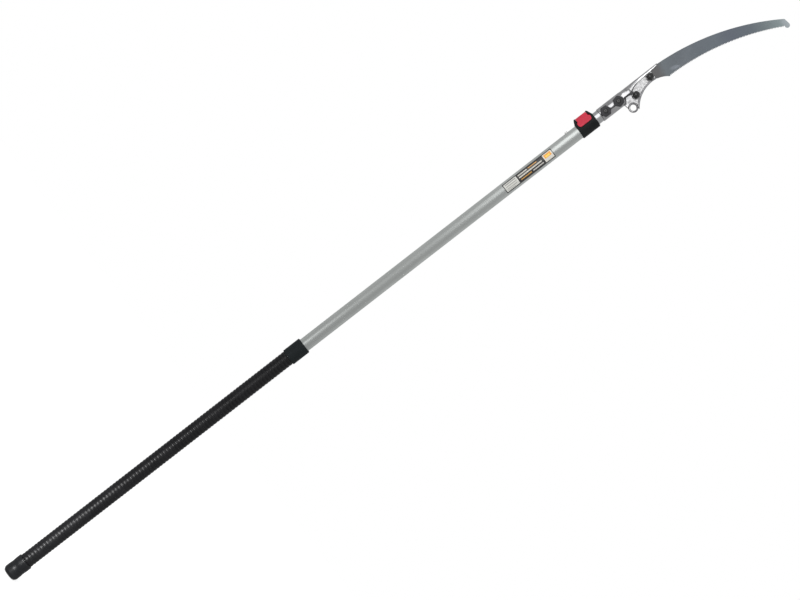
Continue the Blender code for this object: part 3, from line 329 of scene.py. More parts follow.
def scuffGroup():
    group, given = newGroup("handlingMarks", ["Size", "Amount"], ["Marks", "Rub"])
    place = objectPlace(group, -1300, 300)
    finer = calculate(group, "MULTIPLY", -1100, -300, given["Size"], scuffs["finer"])
    lines = []
    for i, turn in enumerate(scuffs["turns"]):
        turned = addNode(group, "Mapping", -900, 300 * i, {"Vector": place, "Rotation": turn,
                                                           "Scale": (1.0, 1.0, scuffs["lengthwise"])})
        line = noiseTone(group, -700, 300 * i, turned.outputs[0], finer, 1.0)
        lines.append(remap(group, -500, 300 * i, line, scuffs["lines"], interpolation_type="SMOOTHSTEP"))
    crossed = calculate(group, "MAXIMUM", -300, 0, *lines)
    patch = noiseTone(group, -700, -500, place, given["Size"], 4.0)
    rub = remap(group, -500, -500, patch, scuffs["rubbed"], interpolation_type="SMOOTHSTEP")
    seen = calculate(group, "MULTIPLY", 0, 0, crossed, rub)
    return closeGroup(group, {"Marks": calculate(group, "MULTIPLY", 200, 0, seen, given["Amount"]),
                              "Rub": calculate(group, "MULTIPLY", 200, -300, rub, given["Amount"])})


surfaceGrain = grainGroup()
drawnLines = drawnGroup()
handlingMarks = scuffGroup()


def placeGroup(tree, group, x, y, feed):
    return addNode(tree, "Group", x, y, feed, node_tree=group).outputs


noiseEnds = (0.3, 0.7)  # nearly all of a noise lies between these


def spread(tree, x, y, value, low=0.0, high=1.0):
    return remap(tree, x, y, value, noiseEnds, low, high)


def blendColours(tree, x, y, factor, *colours, **settings):
    node = addNode(tree, "Mix", x, y, {"Factor": factor}, data_type="RGBA", **settings)
    for socket, value in zip([socket for socket in node.inputs if socket.type == "RGBA"], colours):
        if isinstance(value, tuple):
            socket.default_value = (*value, 1.0)
        else:
            tree.links.new(value, socket)
    return [socket for socket in node.outputs if socket.type == "RGBA"][0]


def addBump(tree, height, strength, depth):
    feed = {"Height": height, "Strength": strength, "Distance": depth}
    return addNode(tree, "Bump", -300, -300, feed).outputs[0]


def newMaterial(name):
    made = bpy.data.materials.new(name)
    made.use_nodes = True
    return made, made.node_tree, made.node_tree.nodes["Principled BSDF"]


squareOn = (0.02, 0.24)  # how far a face turns away before the painted shade of metal seen square on has gone
rubbedRoughness = 0.08


# one finish from a dictionary: two tones, a roughness range, grain or drawn lines, and marks
def finishMaterial(name, look):
    made, tree, shader = newMaterial(name)
    grain = placeGroup(tree, surfaceGrain, -1100, 200, {"Grain Scale": look["grain"], "Cloud Scale": look["cloud"]})
    marks = placeGroup(tree, handlingMarks, -1100, -300, {"Size": look["markSize"], "Amount": look["marks"]})
    tone = spread(tree, -850, 300, grain["Tone"])
    height = grain["Height"]
    if "across" in look:
        run = {"Across": look["across"], "Lengthwise": look["lengthwise"]}
        drawn = placeGroup(tree, drawnLines, -1100, 0, run)
        height = drawn["Height"]
        tone = calculate(tree, "MULTIPLY_ADD", -850, 100, drawn["Streak"], look.get("streaks", 0.8), tone)
    colour = blendColours(tree, -600, 300, tone, look["colour"], look["shade"])
    colour = blendColours(tree, -400, 300, marks["Marks"], colour, look["mark"])
    # metal seen square on is given a darker tone: painted shade
    if "facing" in look:
        facing = addNode(tree, "LayerWeight", -600, 600).outputs["Facing"]
        colour = blendColours(tree, -200, 400, remap(tree, -400, 600, facing, squareOn), look["facing"], colour)
    rough = spread(tree, -600, 0, tone, *look["roughness"])
    worn = calculate(tree, "MULTIPLY_ADD", -400, 0, marks["Rub"], rubbedRoughness, rough)
    feedInputs(tree, shader, {"Base Color": colour, "Roughness": worn, "Metallic": look["metallic"],
                              "Specular IOR Level": look.get("specular", 0.5),
                              "Normal": addBump(tree, height, look["bump"], look["depth"])})
    return made


finishes = {
    "gripRubber": dict(colour=(0.0028, 0.0028, 0.0034), shade=(0.0060, 0.0060, 0.0070), mark=(0.050, 0.050, 0.052),
                       roughness=(0.26, 0.33), metallic=0.0, specular=0.18, grain=1400, cloud=20, bump=0.30,
                       depth=0.0002, markSize=40, marks=0.35),
    "capRubber": dict(colour=(0.0026, 0.0030, 0.0038), shade=(0.0065, 0.0070, 0.0080), mark=(0.060, 0.060, 0.058),
                      roughness=(0.27, 0.36), metallic=0.0, specular=0.20, grain=1100, cloud=26, bump=0.30,
                      depth=0.0003, markSize=34, marks=0.50),
    "collarRubber": dict(colour=(0.0060, 0.0085, 0.0092), shade=(0.0100, 0.0125, 0.0140), mark=(0.050, 0.050, 0.050),
                         roughness=(0.52, 0.64), metallic=0.0, specular=0.12, grain=1300, cloud=24, bump=0.30,
                         depth=0.0002, markSize=44, marks=0.35),
    "clampPlastic": dict(colour=(0.0060, 0.0075, 0.0075), shade=(0.0120, 0.0135, 0.0140), mark=(0.040, 0.042, 0.042),
                         roughness=(0.40, 0.54), metallic=0.0, specular=0.08, grain=1800, cloud=40, bump=0.35,
                         depth=0.0002, markSize=70, marks=0.30),
    "leverPlastic": dict(colour=(0.60, 0.034, 0.066), shade=(0.48, 0.026, 0.052), mark=(0.64, 0.12, 0.15),
                         roughness=(0.30, 0.40), metallic=0.0, specular=0.25, grain=1600, cloud=50, bump=0.18,
                         depth=0.0001, markSize=90, marks=0.25),
    # the outer tube is darker where it faces the camera: painted shade
    "tubeAluminium": dict(colour=(0.405, 0.420, 0.412), shade=(0.345, 0.360, 0.352), mark=(0.52, 0.53, 0.52),
                          facing=(0.290, 0.302, 0.296), roughness=(0.28, 0.36), metallic=0.92, grain=900,
                          cloud=9, bump=0.08, depth=0.0001, across=1400, lengthwise=5, markSize=30, marks=0.40),
    "innerAluminium": dict(colour=(0.33, 0.335, 0.34), shade=(0.275, 0.28, 0.285), mark=(0.22, 0.22, 0.22),
                           roughness=(0.20, 0.27), metallic=0.95, grain=900, cloud=10, bump=0.06, depth=0.0001,
                           across=1700, lengthwise=4, markSize=26, marks=0.55),
    "castAluminium": dict(colour=(0.29, 0.29, 0.295), shade=(0.20, 0.20, 0.205), mark=(0.42, 0.42, 0.43),
                          roughness=(0.13, 0.20), metallic=0.95, grain=520, cloud=60, bump=0.12, depth=0.0003,
                          markSize=50, marks=0.40),
    # dark copy of the cast finish for the rim and the ring eye: painted shade
    "castRimPaintedShade": dict(colour=(0.150, 0.150, 0.155), shade=(0.095, 0.095, 0.100), mark=(0.34, 0.34, 0.35),
                    roughness=(0.22, 0.32), metallic=0.92, grain=520, cloud=70, bump=0.20, depth=0.0003,
                    markSize=60, marks=0.40),
    "castRough": dict(colour=(0.52, 0.52, 0.525), shade=(0.39, 0.39, 0.395), mark=(0.34, 0.34, 0.35),
                      roughness=(0.46, 0.60), metallic=0.85, grain=420, cloud=160, bump=0.55, depth=0.0005,
                      markSize=120, marks=0.45),
    # pale copy of the cast finish for the band high up the rail: a painted highlight
    "castPaintedHighlight": dict(colour=(0.62, 0.62, 0.625), shade=(0.50, 0.50, 0.505), mark=(0.40, 0.40, 0.41),
                       roughness=(0.30, 0.40), metallic=0.92, grain=520, cloud=90, bump=0.15, depth=0.0003,
                       markSize=60, marks=0.30),
    "castShadow": dict(colour=(0.055, 0.055, 0.060), shade=(0.095, 0.095, 0.100), mark=(0.16, 0.16, 0.165),
                       roughness=(0.50, 0.66), metallic=0.60, grain=700, cloud=120, bump=0.40, depth=0.0003,
                       markSize=80, marks=0.30),
    "bladeSteel": dict(colour=(0.140, 0.158, 0.172), shade=(0.160, 0.186, 0.204), mark=(0.24, 0.26, 0.28),
                       roughness=(0.34, 0.44), metallic=0.85, grain=700, cloud=11, bump=0.12, depth=0.0001,
                       across=1100, lengthwise=30, streaks=0.5, markSize=36, marks=0.35),
    "knobPlastic": dict(colour=(0.026, 0.026, 0.028), shade=(0.044, 0.044, 0.048), mark=(0.080, 0.080, 0.082),
                        roughness=(0.40, 0.52), metallic=0.0, specular=0.15, grain=1500, cloud=60, bump=0.30,
                        depth=0.0002, markSize=90, marks=0.35),
    "blackOxide": dict(colour=(0.0055, 0.0060, 0.0060), shade=(0.012, 0.012, 0.0125), mark=(0.08, 0.08, 0.08),
                       roughness=(0.16, 0.24), metallic=0.0, specular=0.35, grain=1500, cloud=80, bump=0.15,
                       depth=0.0001, markSize=120, marks=0.40),
    "zincSteel": dict(colour=(0.50, 0.50, 0.49), shade=(0.40, 0.40, 0.39), mark=(0.66, 0.66, 0.64),
                      roughness=(0.26, 0.38), metallic=1.0, grain=1300, cloud=90, bump=0.15, depth=0.0001,
                      markSize=120, marks=0.40),
    "mouldedBlack": dict(colour=(0.020, 0.020, 0.021), shade=(0.030, 0.030, 0.031), mark=(0.060, 0.060, 0.060),
                         roughness=(0.46, 0.58), metallic=0.0, specular=0.20, grain=1200, cloud=40, bump=0.25,
                         depth=0.0002, markSize=60, marks=0.30),
}
looks = {name: finishMaterial(name, look) for name, look in finishes.items()}
print("materials ready:", len(looks))


# the blade's tone runs from dark by the head over blue-grey steel to paler towards the tip, with one faint rubbed
# patch
bladeTone = {"from": 2.46, "to": 2.9265, "wobble": 0.014, "lean": 0.25,
             "stops": [(0.00, (0.068, 0.066, 0.066)), (0.085, (0.074, 0.073, 0.075)), (0.125, (0.090, 0.101, 0.110)),
                       (0.24, (0.079, 0.088, 0.098)), (0.50, (0.094, 0.107, 0.122)), (0.62, (0.087, 0.098, 0.119)),
                       (0.76, (0.098, 0.114, 0.131)), (0.855, (0.135, 0.158, 0.168)), (0.95, (0.195, 0.233, 0.240)),
                       (1.00, (0.30, 0.33, 0.35))],
             "patch": (0.0225, 2.536), "patchReach": (0.0055, 0.0150), "patchTurn": 18,
             "patchColour": (0.150, 0.162, 0.185), "patchEdge": (0.6, 1.3), "patchShare": 0.55,
             "streakLift": (3.3, 2.9, 2.65), "streakShare": 0.35}


def bladeMaterial(made):
    t = bladeTone
    tree = made.node_tree
    baseColour = tree.nodes["Principled BSDF"].inputs["Base Color"]
    plain = baseColour.links[0].from_socket
    place = objectPlace(tree, -1600, 800)
    parts = addNode(tree, "SeparateXYZ", -1400, 800, {0: place}).outputs
    wobble = noiseTone(tree, -1400, 1000, place, 55.0, 2.0)
    leaned = calculate(tree, "MULTIPLY_ADD", -1200, 700, parts["X"], t["lean"], parts["Z"])
    height = calculate(tree, "MULTIPLY_ADD", -1200, 900, wobble, t["wobble"], leaned)
    ramp = addNode(tree, "ValToRGB", -800, 900, {0: remap(tree, -1000, 900, height, (t["from"], t["to"]))})
    elements = ramp.color_ramp.elements
    elements[0].position, elements[1].position = t["stops"][0][0], t["stops"][-1][0]
    for at, colour in t["stops"][1:-1]:
        elements.new(at)
    for element, (at, colour) in zip(elements, t["stops"]):
        element.color = (*colour, 1.0)
    # soft oval patch
    (x, z), (wide, tall) = t["patch"], t["patchReach"]
    offset = addNode(tree, "Mapping", -1200, 500, {"Vector": place, "Location": (x, 0, z), "Scale": (wide, 1, tall),
                                                   "Rotation": (0, math.radians(t["patchTurn"]), 0)},
                     vector_type="TEXTURE")
    far = addNode(tree, "VectorMath", -1000, 500, {0: offset.outputs[0]}, operation="LENGTH").outputs["Value"]
    near = remap(tree, -800, 500, far, t["patchEdge"], t["patchShare"], 0.0, interpolation_type="SMOOTHSTEP")
    base = blendColours(tree, -600, 700, near, ramp.outputs["Color"], t["patchColour"])
    # the streaks and marks of the plain finish lie over it
    lifted = blendColours(tree, -400, 400, 1.0, plain, t["streakLift"], blend_type="MULTIPLY")
    over = blendColours(tree, -200, 500, t["streakShare"], base, lifted, blend_type="SOFT_LIGHT")
    tree.links.new(over, baseColour)


bladeMaterial(looks["bladeSteel"])


# shading, finish, body, and the model's piece that this one stands for
def dress(piece, degrees, look, body, node):
    smoothBy(piece, degrees)
    piece.data.materials.clear()
    piece.data.materials.append(looks[look])
    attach(piece, body)
    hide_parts(node)


# camera and light

view = {"lean": 37.805, "aim": (0.0696, 0.0, 1.4467), "distance": 6.73, "lens": 100.0}


def addCamera():
    lean = math.radians(view["lean"])
    right = Vector((math.sin(lean), 0, math.cos(lean)))
    up = Vector((-math.cos(lean), 0, math.sin(lean)))
    back = right.cross(up)
    camera = bpy.data.cameras.new("camera")
    camera.lens = view["lens"]
    camera.sensor_width = 36.0
    holder = bpy.data.objects.new("camera", camera)
    bpy.context.scene.collection.objects.link(holder)
    place = Matrix((right, up, back)).transposed().to_4x4()
    place.translation = Vector(view["aim"]) + back * view["distance"]
    holder.matrix_world = place
    bpy.context.scene.camera = holder


# soft boxes beside the camera, by the head, the grip and the butt
lamps = {
    "headBox": dict(place=(-0.52, -1.50, 2.49), aim=(0, 0, 2.36), size=(1.22, 0.88), power=11.2),
    "gripBox": dict(place=(-0.52, -1.50, 0.64), aim=(0, 0, 0.68), size=(0.38, 0.80), power=5.4),
    "buttBox": dict(place=(-0.20, -0.56, 0.13), aim=(0, 0, 0.13), size=(0.17, 0.24), power=4.8),
}


def addLamps():
    for name, look in lamps.items():
        lamp = bpy.data.lights.new(name, "AREA")
        lamp.shape = "RECTANGLE"
        lamp.size, lamp.size_y = look["size"]
        lamp.energy = look["power"]
        holder = bpy.data.objects.new(name, lamp)
        bpy.context.scene.collection.objects.link(holder)
        holder.location = look["place"]
        holder.rotation_euler = (Vector(look["aim"]) - Vector(look["place"])).to_track_quat("-Z", "Y").to_euler()


# level pale light for the object, plain white for what the camera, metal and glass see behind it
studio = {"level": 0.66, "floorWhite": 0.80, "floorLift": 0.50, "floorSize": 16.0, "floorBelow": 0.0002}


def addWorld():
    world = bpy.data.worlds.new("studioWorld")
    bpy.context.scene.world = world
    world.use_nodes = True
    tree = world.node_tree
    rays = addNode(tree, "LightPath", -900, 300).outputs
    glossOrGlass = calculate(tree, "MAXIMUM", -700, 200, rays["Is Glossy Ray"], rays["Is Transmission Ray"])
    seen = calculate(tree, "MAXIMUM", -500, 300, rays["Is Camera Ray"], glossOrGlass)
    strength = remap(tree, -300, 300, seen, (0.0, 1.0), studio["level"], 1.0)
    feedInputs(tree, tree.nodes["Background"], {"Strength": strength, "Color": (1.0, 1.0, 1.0, 1.0)})


def addFloor():
    deselectAll()
    bpy.ops.mesh.primitive_plane_add(size=studio["floorSize"], location=(0, 0, cadLow.z - studio["floorBelow"]))
    floor = bpy.context.object
    floor.name = "studioFloor"
    paint, tree, shader = newMaterial("floorPaint")
    white = (*[studio["floorWhite"]] * 3, 1.0)
    feedInputs(tree, shader, {"Base Color": white, "Roughness": 0.9, "Specular IOR Level": 0.0})
    rays = addNode(tree, "LightPath", -500, -200).outputs
    strength = calculate(tree, "MULTIPLY", -350, -200, rays["Is Camera Ray"], studio["floorLift"])
    lift = addNode(tree, "Emission", -200, -200, {"Strength": strength})
    both = addNode(tree, "AddShader", 200, 0, {0: shader.outputs[0], 1: lift.outputs[0]})
    tree.links.new(both.outputs[0], tree.nodes["Material Output"].inputs["Surface"])
    floor.data.materials.append(paint)


addCamera()
addLamps()
addWorld()
addFloor()
bpy.context.scene.view_settings.view_transform = "Standard"
print("camera, lamps and floor placed")


# sizes that several pieces share, read off the model where it holds them
gap = 0.0003
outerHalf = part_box("outer_tube")[1].xy
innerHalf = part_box("inner_tube")[1].xy
tubeBore = (outerHalf.x + gap, outerHalf.y + gap)
outerWall = 0.0015
innerWall = 0.0013
headLow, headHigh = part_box("saw_head")
headStart = headLow.z
buttonLow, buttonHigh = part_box("lock_button")
lockHole = {"z": (buttonLow.z + buttonHigh.z) / 2, "low": 0.168, "radius": 0.0042}
headBolts = [headStart + 0.0188, headStart + 0.0678]
bladeBolts = [(0.0173, headStart + 0.123), (-0.0005, headStart + 0.190)]
boltHole = 0.0043
bladeHole = 0.0042
screwHole = 0.0023
knobSeat = 0.0176
past = 0.04  # cutting tools reach well past what they cut
frontToBack = (-past, past)
leftWall = (-past, -0.008)
backWall = (0.008, past)


# rubber end cap: soft closed end, faint waist, rounded rim, cup for the tube
capShape = {"rounding": 0.013, "waist": 0.0009, "waistFrom": 0.024, "waistTo": 0.050,
            "waistSteps": 18, "rimRounding": 0.0030, "floor": 0.010}


def makeEndCap():
    s = capShape
    low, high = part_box("end_cap")
    rings = []
    for inset, rise in reversed(roundingSteps(s["rounding"], 12)):
        rings.append((high.x - inset, high.y - inset, low.z + rise))
    start, top = low.z + s["rounding"], high.z - s["rimRounding"]
    for i in range(1, s["waistSteps"] + 1):
        z = start + (top - start) * i / s["waistSteps"]
        share = min(max((z - s["waistFrom"]) / (s["waistTo"] - s["waistFrom"]), 0), 1)
        inset = s["waist"] * math.sin(math.pi * share) ** 2
        rings.append((high.x - inset, high.y - inset, z))
    for inset, rise in roundingSteps(s["rimRounding"], 6)[1:]:
        rings.append((high.x - inset, high.y - inset, high.z - rise))
    rings += [(*tubeBore, high.z), (*tubeBore, low.z + s["floor"])]
    dress(ringStack("endCap", rings, 96), 40, "capRubber", "outer_pole", "end_cap")


# rubber sleeve: one round rib, repeated up the handle
gripShape = {"ribs": 87, "depth": 0.0011,
             "profile": [(0.0, 1.0), (0.07, 0.80), (0.16, 0.38), (0.30, 0.08), (0.50, 0.0), (0.70, 0.08),
                         (0.84, 0.38), (0.93, 0.80), (1.0, 1.0)]}


def makeGrip():
    low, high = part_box("rubber_grip")
    pitch = (high.z - low.z) / gripShape["ribs"]
    rings = []
    for share, sunk in gripShape["profile"]:
        inset = gripShape["depth"] * sunk
        rings.append((high.x - inset, high.y - inset, low.z + share * pitch))
    piece = ringStack("ribbedGrip", rings, 60, ends="open")
    modify(piece, "ARRAY", count=gripShape["ribs"], use_relative_offset=False, use_constant_offset=True,
           constant_offset_displace=(0, 0, pitch), use_merge_vertices=True, merge_threshold=0.00001)
    editAll(piece)
    selectOpenEdges()
    moveBy((0, 0, 0))
    inward = (tubeBore[0] / rings[0][0], tubeBore[1] / rings[0][1], 1)
    bpy.ops.transform.resize(value=inward, center_override=(0, 0, low.z))
    bridgeOpenEdges()
    settle(piece, "ribbedGrip")
    dress(piece, 50, "gripRubber", "outer_pole", "rubber_grip")


# smooth collar that ends the grip
collarShape = {"rounding": 0.0032, "lowRounding": 0.0022}


def makeCollar():
    low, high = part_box("grip_collar")
    rings = []
    for inset, rise in reversed(roundingSteps(collarShape["lowRounding"], 6)):
        rings.append((high.x - inset, high.y - inset, low.z + rise))
    for inset, rise in roundingSteps(collarShape["rounding"], 8):
        rings.append((high.x - inset, high.y - inset, high.z - rise))
    rings += [(*tubeBore, high.z), (*tubeBore, low.z)]
    piece = ringStack("gripCollar", rings, 96, ends="bridged")
    dress(piece, 50, "collarRubber", "outer_pole", "grip_collar")


# drawn oval tubes with their lock holes and bolt holes
def makeTube(name, node, wall):
    low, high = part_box(node)
    rings = [(high.x, high.y, low.z), (high.x, high.y, high.z),
             (high.x - wall, high.y - wall, high.z), (high.x - wall, high.y - wall, low.z)]
    return ringStack(name, rings, 128, ends="bridged")


def cutScrewHoles(piece):
    for node in ("clamp_screw_lower", "clamp_screw_upper"):
        low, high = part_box(node)
        cutAway(piece, rod("y", (0, (low.z + high.z) / 2), screwHole, *backWall))


def makeOuterTube():
    piece = makeTube("outerTube", "outer_tube", outerWall)
    cutAway(piece, rod("x", (0, lockHole["z"]), lockHole["radius"] + 2 * gap, *leftWall))
    cutScrewHoles(piece)
    dress(piece, 40, "tubeAluminium", "outer_pole", "outer_tube")


def makeInnerTube():
    piece = makeTube("innerTube", "inner_tube", innerWall)
    for z in (lockHole["z"], lockHole["low"]):
        cutAway(piece, rod("x", (0, z), lockHole["radius"] + gap, *leftWall))
    for z in headBolts:
        cutAway(piece, rod("y", (0, z), boltHole, *frontToBack))
    dress(piece, 40, "innerAluminium", "inner_pole", "inner_tube")


# paper label round the tube's front: plain blocks of colour
labelShape = {"low": 1.9015, "high": 2.0859, "half": 0.0150, "off": 0.00005, "thick": 0.00022,
              "ground": (0.014, 0.014, 0.015)}


def makeLabel():
    halfX = outerHalf.x + labelShape["off"]
    halfY = outerHalf.y + labelShape["off"]
    deselectAll()
    bpy.ops.mesh.primitive_circle_add(vertices=180, radius=1, location=(0, 0, labelShape["low"]))
    piece = bpy.context.object
    editAll(piece)
    bpy.ops.transform.resize(value=(halfX, halfY, 1), center_override=(0, 0, labelShape["low"]))
    bpy.ops.mesh.select_all(action="DESELECT")
    bpy.ops.object.mode_set(mode="OBJECT")
    for vertex in piece.data.vertices:
        vertex.select = abs(vertex.co.x) > labelShape["half"] or vertex.co.y > 0
    bpy.ops.object.mode_set(mode="EDIT")
    bpy.ops.mesh.delete(type="VERT")
    bpy.ops.mesh.select_all(action="SELECT")
    moveBy((0, 0, labelShape["high"] - labelShape["low"]))
    settle(piece, "paperLabel")
    modify(piece, "SOLIDIFY", thickness=labelShape["thick"], offset=1.0)
    settle(piece, "paperLabel")
    smoothBy(piece, 40)
    piece.data.materials.append(labelMaterial())
    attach(piece, "outer_pole")


# blocks on the label: lengthwise range, crosswise range, colour
labelBlocks = [
    ((1.9040, 1.9513), (-0.0122, 0.0122), (0.62, 0.62, 0.58)),
    ((1.9080, 1.9474), (-0.0098, -0.0066), (0.28, 0.28, 0.27)),
    ((1.9080, 1.9474), (-0.0030, 0.0000), (0.33, 0.33, 0.31)),
    ((1.9080, 1.9454), (0.0038, 0.0064), (0.36, 0.36, 0.34)),
    ((1.9080, 1.9354), (0.0088, 0.0106), (0.40, 0.40, 0.38)),
    ((1.9573, 1.9912), (-0.0100, -0.0068), (0.60, 0.58, 0.52)),
    ((1.9952, 2.0291), (-0.0096, -0.0072), (0.60, 0.30, 0.06)),
    ((1.9573, 2.0430), (-0.0030, 0.0010), (0.56, 0.54, 0.48)),
    ((1.9593, 1.9992), (0.0058, 0.0086), (0.58, 0.30, 0.06)),
    ((2.0052, 2.0450), (0.0056, 0.0090), (0.54, 0.52, 0.48)),
    ((2.0515, 2.0834), (-0.0122, 0.0122), (0.68, 0.66, 0.60)),
    ((2.0550, 2.0799), (-0.0098, 0.0020), (0.80, 0.34, 0.03)),
    ((2.0590, 2.0749), (-0.0050, 0.0000), (0.85, 0.62, 0.08)),
]


def labelMaterial():
    made, tree, shader = newMaterial("labelPrint")
    parts = addNode(tree, "SeparateXYZ", -1400, 300, {0: objectPlace(tree, -1600, 300)}).outputs
    colour = labelShape["ground"]
    for i, (alongTube, across, shade) in enumerate(labelBlocks):
        masks = [calculate(tree, "COMPARE", -1200, -160 * i, parts[axis], (low + high) / 2, (high - low) / 2)
                 for axis, (low, high) in (("Z", alongTube), ("X", across))]
        inside = calculate(tree, "MULTIPLY", -1000, -160 * i, *masks)
        colour = blendColours(tree, -800 + 60 * i, -160 * i, inside, colour, shade)
    grain = placeGroup(tree, surfaceGrain, -400, -500, {"Grain Scale": 2200.0, "Cloud Scale": 30.0})
    feedInputs(tree, shader, {"Base Color": colour, "Roughness": spread(tree, -200, -300, grain["Tone"], 0.28, 0.42),
                              "Normal": addBump(tree, grain["Height"], 0.08, 0.0001)})
    return made


makeEndCap()
makeGrip()
makeCollar()
makeOuterTube()
makeInnerTube()
makeLabel()
print("cap, grip, collar, tubes and label made")


# clamp body: oval ring with two cheeks for the lever's pin
clampShape = {"wall": 0.0050, "sideWall": 0.0038, "pocketWall": 0.0030, "edge": 0.0026, "pivotOut": 0.0113,
              "pivotForward": 0.0070, "earRadius": 0.0065, "earSpan": 0.0485, "slantStart": 0.0200, "seat": 0.022,
              "camReach": 0.0060, "rootSpan": 0.0380, "widestSpan": 0.0475, "widestReach": 0.0125,
              "reach": 0.0254, "corner": 0.0095, "sideGap": 0.0010, "lead": 0.0032, "pinHole": 0.0023}
clampLow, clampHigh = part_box("clamp_housing")
clampMiddle = (clampLow.z + clampHigh.z) / 2
pivot = (-outerHalf.x - clampShape["pivotOut"], -clampShape["pivotForward"])


# the lever seen from the front; room and lead widen it for the pocket, where the turning lever sweeps
def leverPlan(room, reach, y, lead=0.0):
    s = clampShape
    root, widest = s["camReach"], s["widestReach"] - lead
    narrow, wide = s["rootSpan"] / 2 + room, s["widestSpan"] / 2 + room
    points = []
    for side in (1, -1):
        half = [(-root - 2 * room, narrow), (root - lead, narrow)]
        for i in range(1, 9):
            share = i / 8
            half.append((root - lead + share * (widest - root + lead), narrow + ease(share) * (wide - narrow)))
        half = [(pivot[0] + away, clampMiddle + side * out) for away, out in half]
        centre = (pivot[0] + reach - s["corner"], clampMiddle + side * (wide - s["corner"]))
        half += arcPoints(centre, s["corner"], side * math.pi / 2, 0.0, 12)
        points += half if side == 1 else half[::-1][1:]
    return [(x, y, z) for x, z in points]


# the pressure shoe's place with a gap round it
def shoeRoom():
    low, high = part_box("pressure_shoe")
    room = Vector((gap, gap, gap))
    return blockOf("tool", (pivot[0], *(low - room)[1:]), (-innerHalf.x / 2, *(high + room)[1:]))


def makeClampBody():
    halfX, halfY = outerHalf.x + clampShape["sideWall"], outerHalf.y + clampShape["wall"]
    around = [(halfX * x, halfY * y) for x, y in arcPoints((0, 0), 1, 0, math.tau, 120)[:-1]]
    around += arcPoints(pivot, clampShape["earRadius"], 0, math.tau, 60)[:-1]
    around = [around[i] for i in convex_hull_2d([Vector(point) for point in around])]
    piece = outlinePlate("clampBody", [(x, y, clampLow.z) for x, y in around], (0, 0, clampHigh.z - clampLow.z))
    outside = pivot[0] - clampShape["earRadius"]
    start = -clampShape["slantStart"]
    for side in (-1, 1):
        end = clampMiddle + side * (clampHigh.z - clampLow.z) / 2
        slope = (end - clampMiddle - side * clampShape["earSpan"] / 2) / (start - outside)
        far, over = outside - 0.01, end + side * 0.01
        wedge = [(start, end), (far, end + slope * (far - start)), (far, over), (start, over)]
        cutAway(piece, outlinePlate("tool", [(x, -past, z) for x, z in wedge], (0, 2 * past, 0)))
    bevelEdges(piece, clampShape["edge"], 5, 30)
    pocketDepth = -pivot[1] - clampShape["camReach"] - gap
    room = clampShape["sideGap"]
    plan = leverPlan(room, clampShape["reach"] + room, -past, clampShape["lead"])
    cutAway(piece, outlinePlate("tool", plan, (0, past - pocketDepth, 0)))
    core = (outerHalf.x + clampShape["pocketWall"], outerHalf.y + clampShape["pocketWall"])
    edge = clampShape["edge"]
    fuse(piece, ovalBar("tool", *core, clampLow.z + edge, clampHigh.z - edge, 120))
    below, above = clampLow.z - past, clampHigh.z + past
    cutAway(piece, ovalBar("tool", *tubeBore, below, clampLow.z + clampShape["seat"] + gap, 128))
    cutAway(piece, ovalBar("tool", innerHalf.x + gap, innerHalf.y + gap, below, above, 128))
    cutAway(piece, shoeRoom())
    cutAway(piece, rod("z", pivot, clampShape["pinHole"], below, above))
    cutScrewHoles(piece)
    settle(piece, "clampBody")
    dress(piece, 32, "clampPlastic", "outer_pole", "clamp_housing")


# flip lever: cam barrel and finger plate in one
leverShape = {"camRadius": 0.0056, "camThrow": 0.0004, "thickness": 0.0040, "edge": 0.0008}


def makeLever():
    lip = (outerHalf.x + clampShape["pocketWall"] + gap, outerHalf.y + clampShape["pocketWall"] + gap)
    endX = pivot[0] + clampShape["reach"]
    lipY = -math.sqrt(1 - (endX / lip[0]) ** 2) * lip[1]
    camCentre = Vector((pivot[0] + leverShape["camThrow"], pivot[1]))
    half = leverShape["thickness"] / 2
    tip = Vector((endX - half, lipY - half - gap))
    run = tip - camCentre
    tilt = math.atan2(run.y, run.x)
    lean = math.asin((leverShape["camRadius"] - half) / run.length)
    front = tilt - math.pi / 2 - lean
    outline = arcPoints(camCentre, leverShape["camRadius"], front, front - 1.5 * math.pi, 40)
    outline += arcPoints(tip, half, tilt + 0.5 * math.pi, front, 12)
    piece = outlinePlate("flipLever", [(x, y, clampLow.z) for x, y in outline], (0, 0, clampHigh.z - clampLow.z))
    cutAway(piece, ovalBar("tool", *lip, clampLow.z - past, clampHigh.z + past, 160))
    keepInside(piece, outlinePlate("tool", leverPlan(0.0, clampShape["reach"], -past), (0, past, 0)))
    bevelEdges(piece, leverShape["edge"], 3, 35)
    behind = shoeRoom()
    cutAway(behind, rod("z", camCentre, leverShape["camRadius"], clampLow.z, clampHigh.z, 80))
    cutAway(piece, behind)
    cutAway(piece, rod("z", pivot, clampShape["pinHole"], clampLow.z, clampHigh.z))
    settle(piece, "flipLever")
    dress(piece, 35, "leverPlastic", "clamp_lever", "clamp_lever")


# domed screw with a cross recess, seen from behind
screwShape = {"shank": 0.0020, "head": 0.0036, "tall": 0.0024, "arm": 0.0009, "recessFrom": 0.0013}


def makeClampScrew(node):
    s = screwShape
    low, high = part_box(node)
    z = (low.z + high.z) / 2
    seat = outerHalf.y + clampShape["wall"] + gap
    steps = [(s["shank"], -low.y), (s["shank"], -seat)] + domeSteps(s["head"], -seat, -s["tall"], 10)
    piece = turnedPiece(nameFrom("screw", node), (0, z), steps, 40)
    for wide, tall in ((s["head"], s["arm"]), (s["arm"], s["head"])):
        low, high = (-wide / 2, seat + s["recessFrom"], z - tall / 2), (wide / 2, past, z + tall / 2)
        cutAway(piece, blockOf("tool", low, high))
    settle(piece, piece.name)
    dress(piece, 35, "zincSteel", "outer_pole", node)


makeClampBody()
makeLever()
makeClampScrew("clamp_screw_lower")
makeClampScrew("clamp_screw_upper")
print("clamp made")


# spring button that locks the pole
buttonShape = {"flange": 0.0012, "flangeThick": 0.0010, "shoulder": 0.0015, "dome": 0.001455}


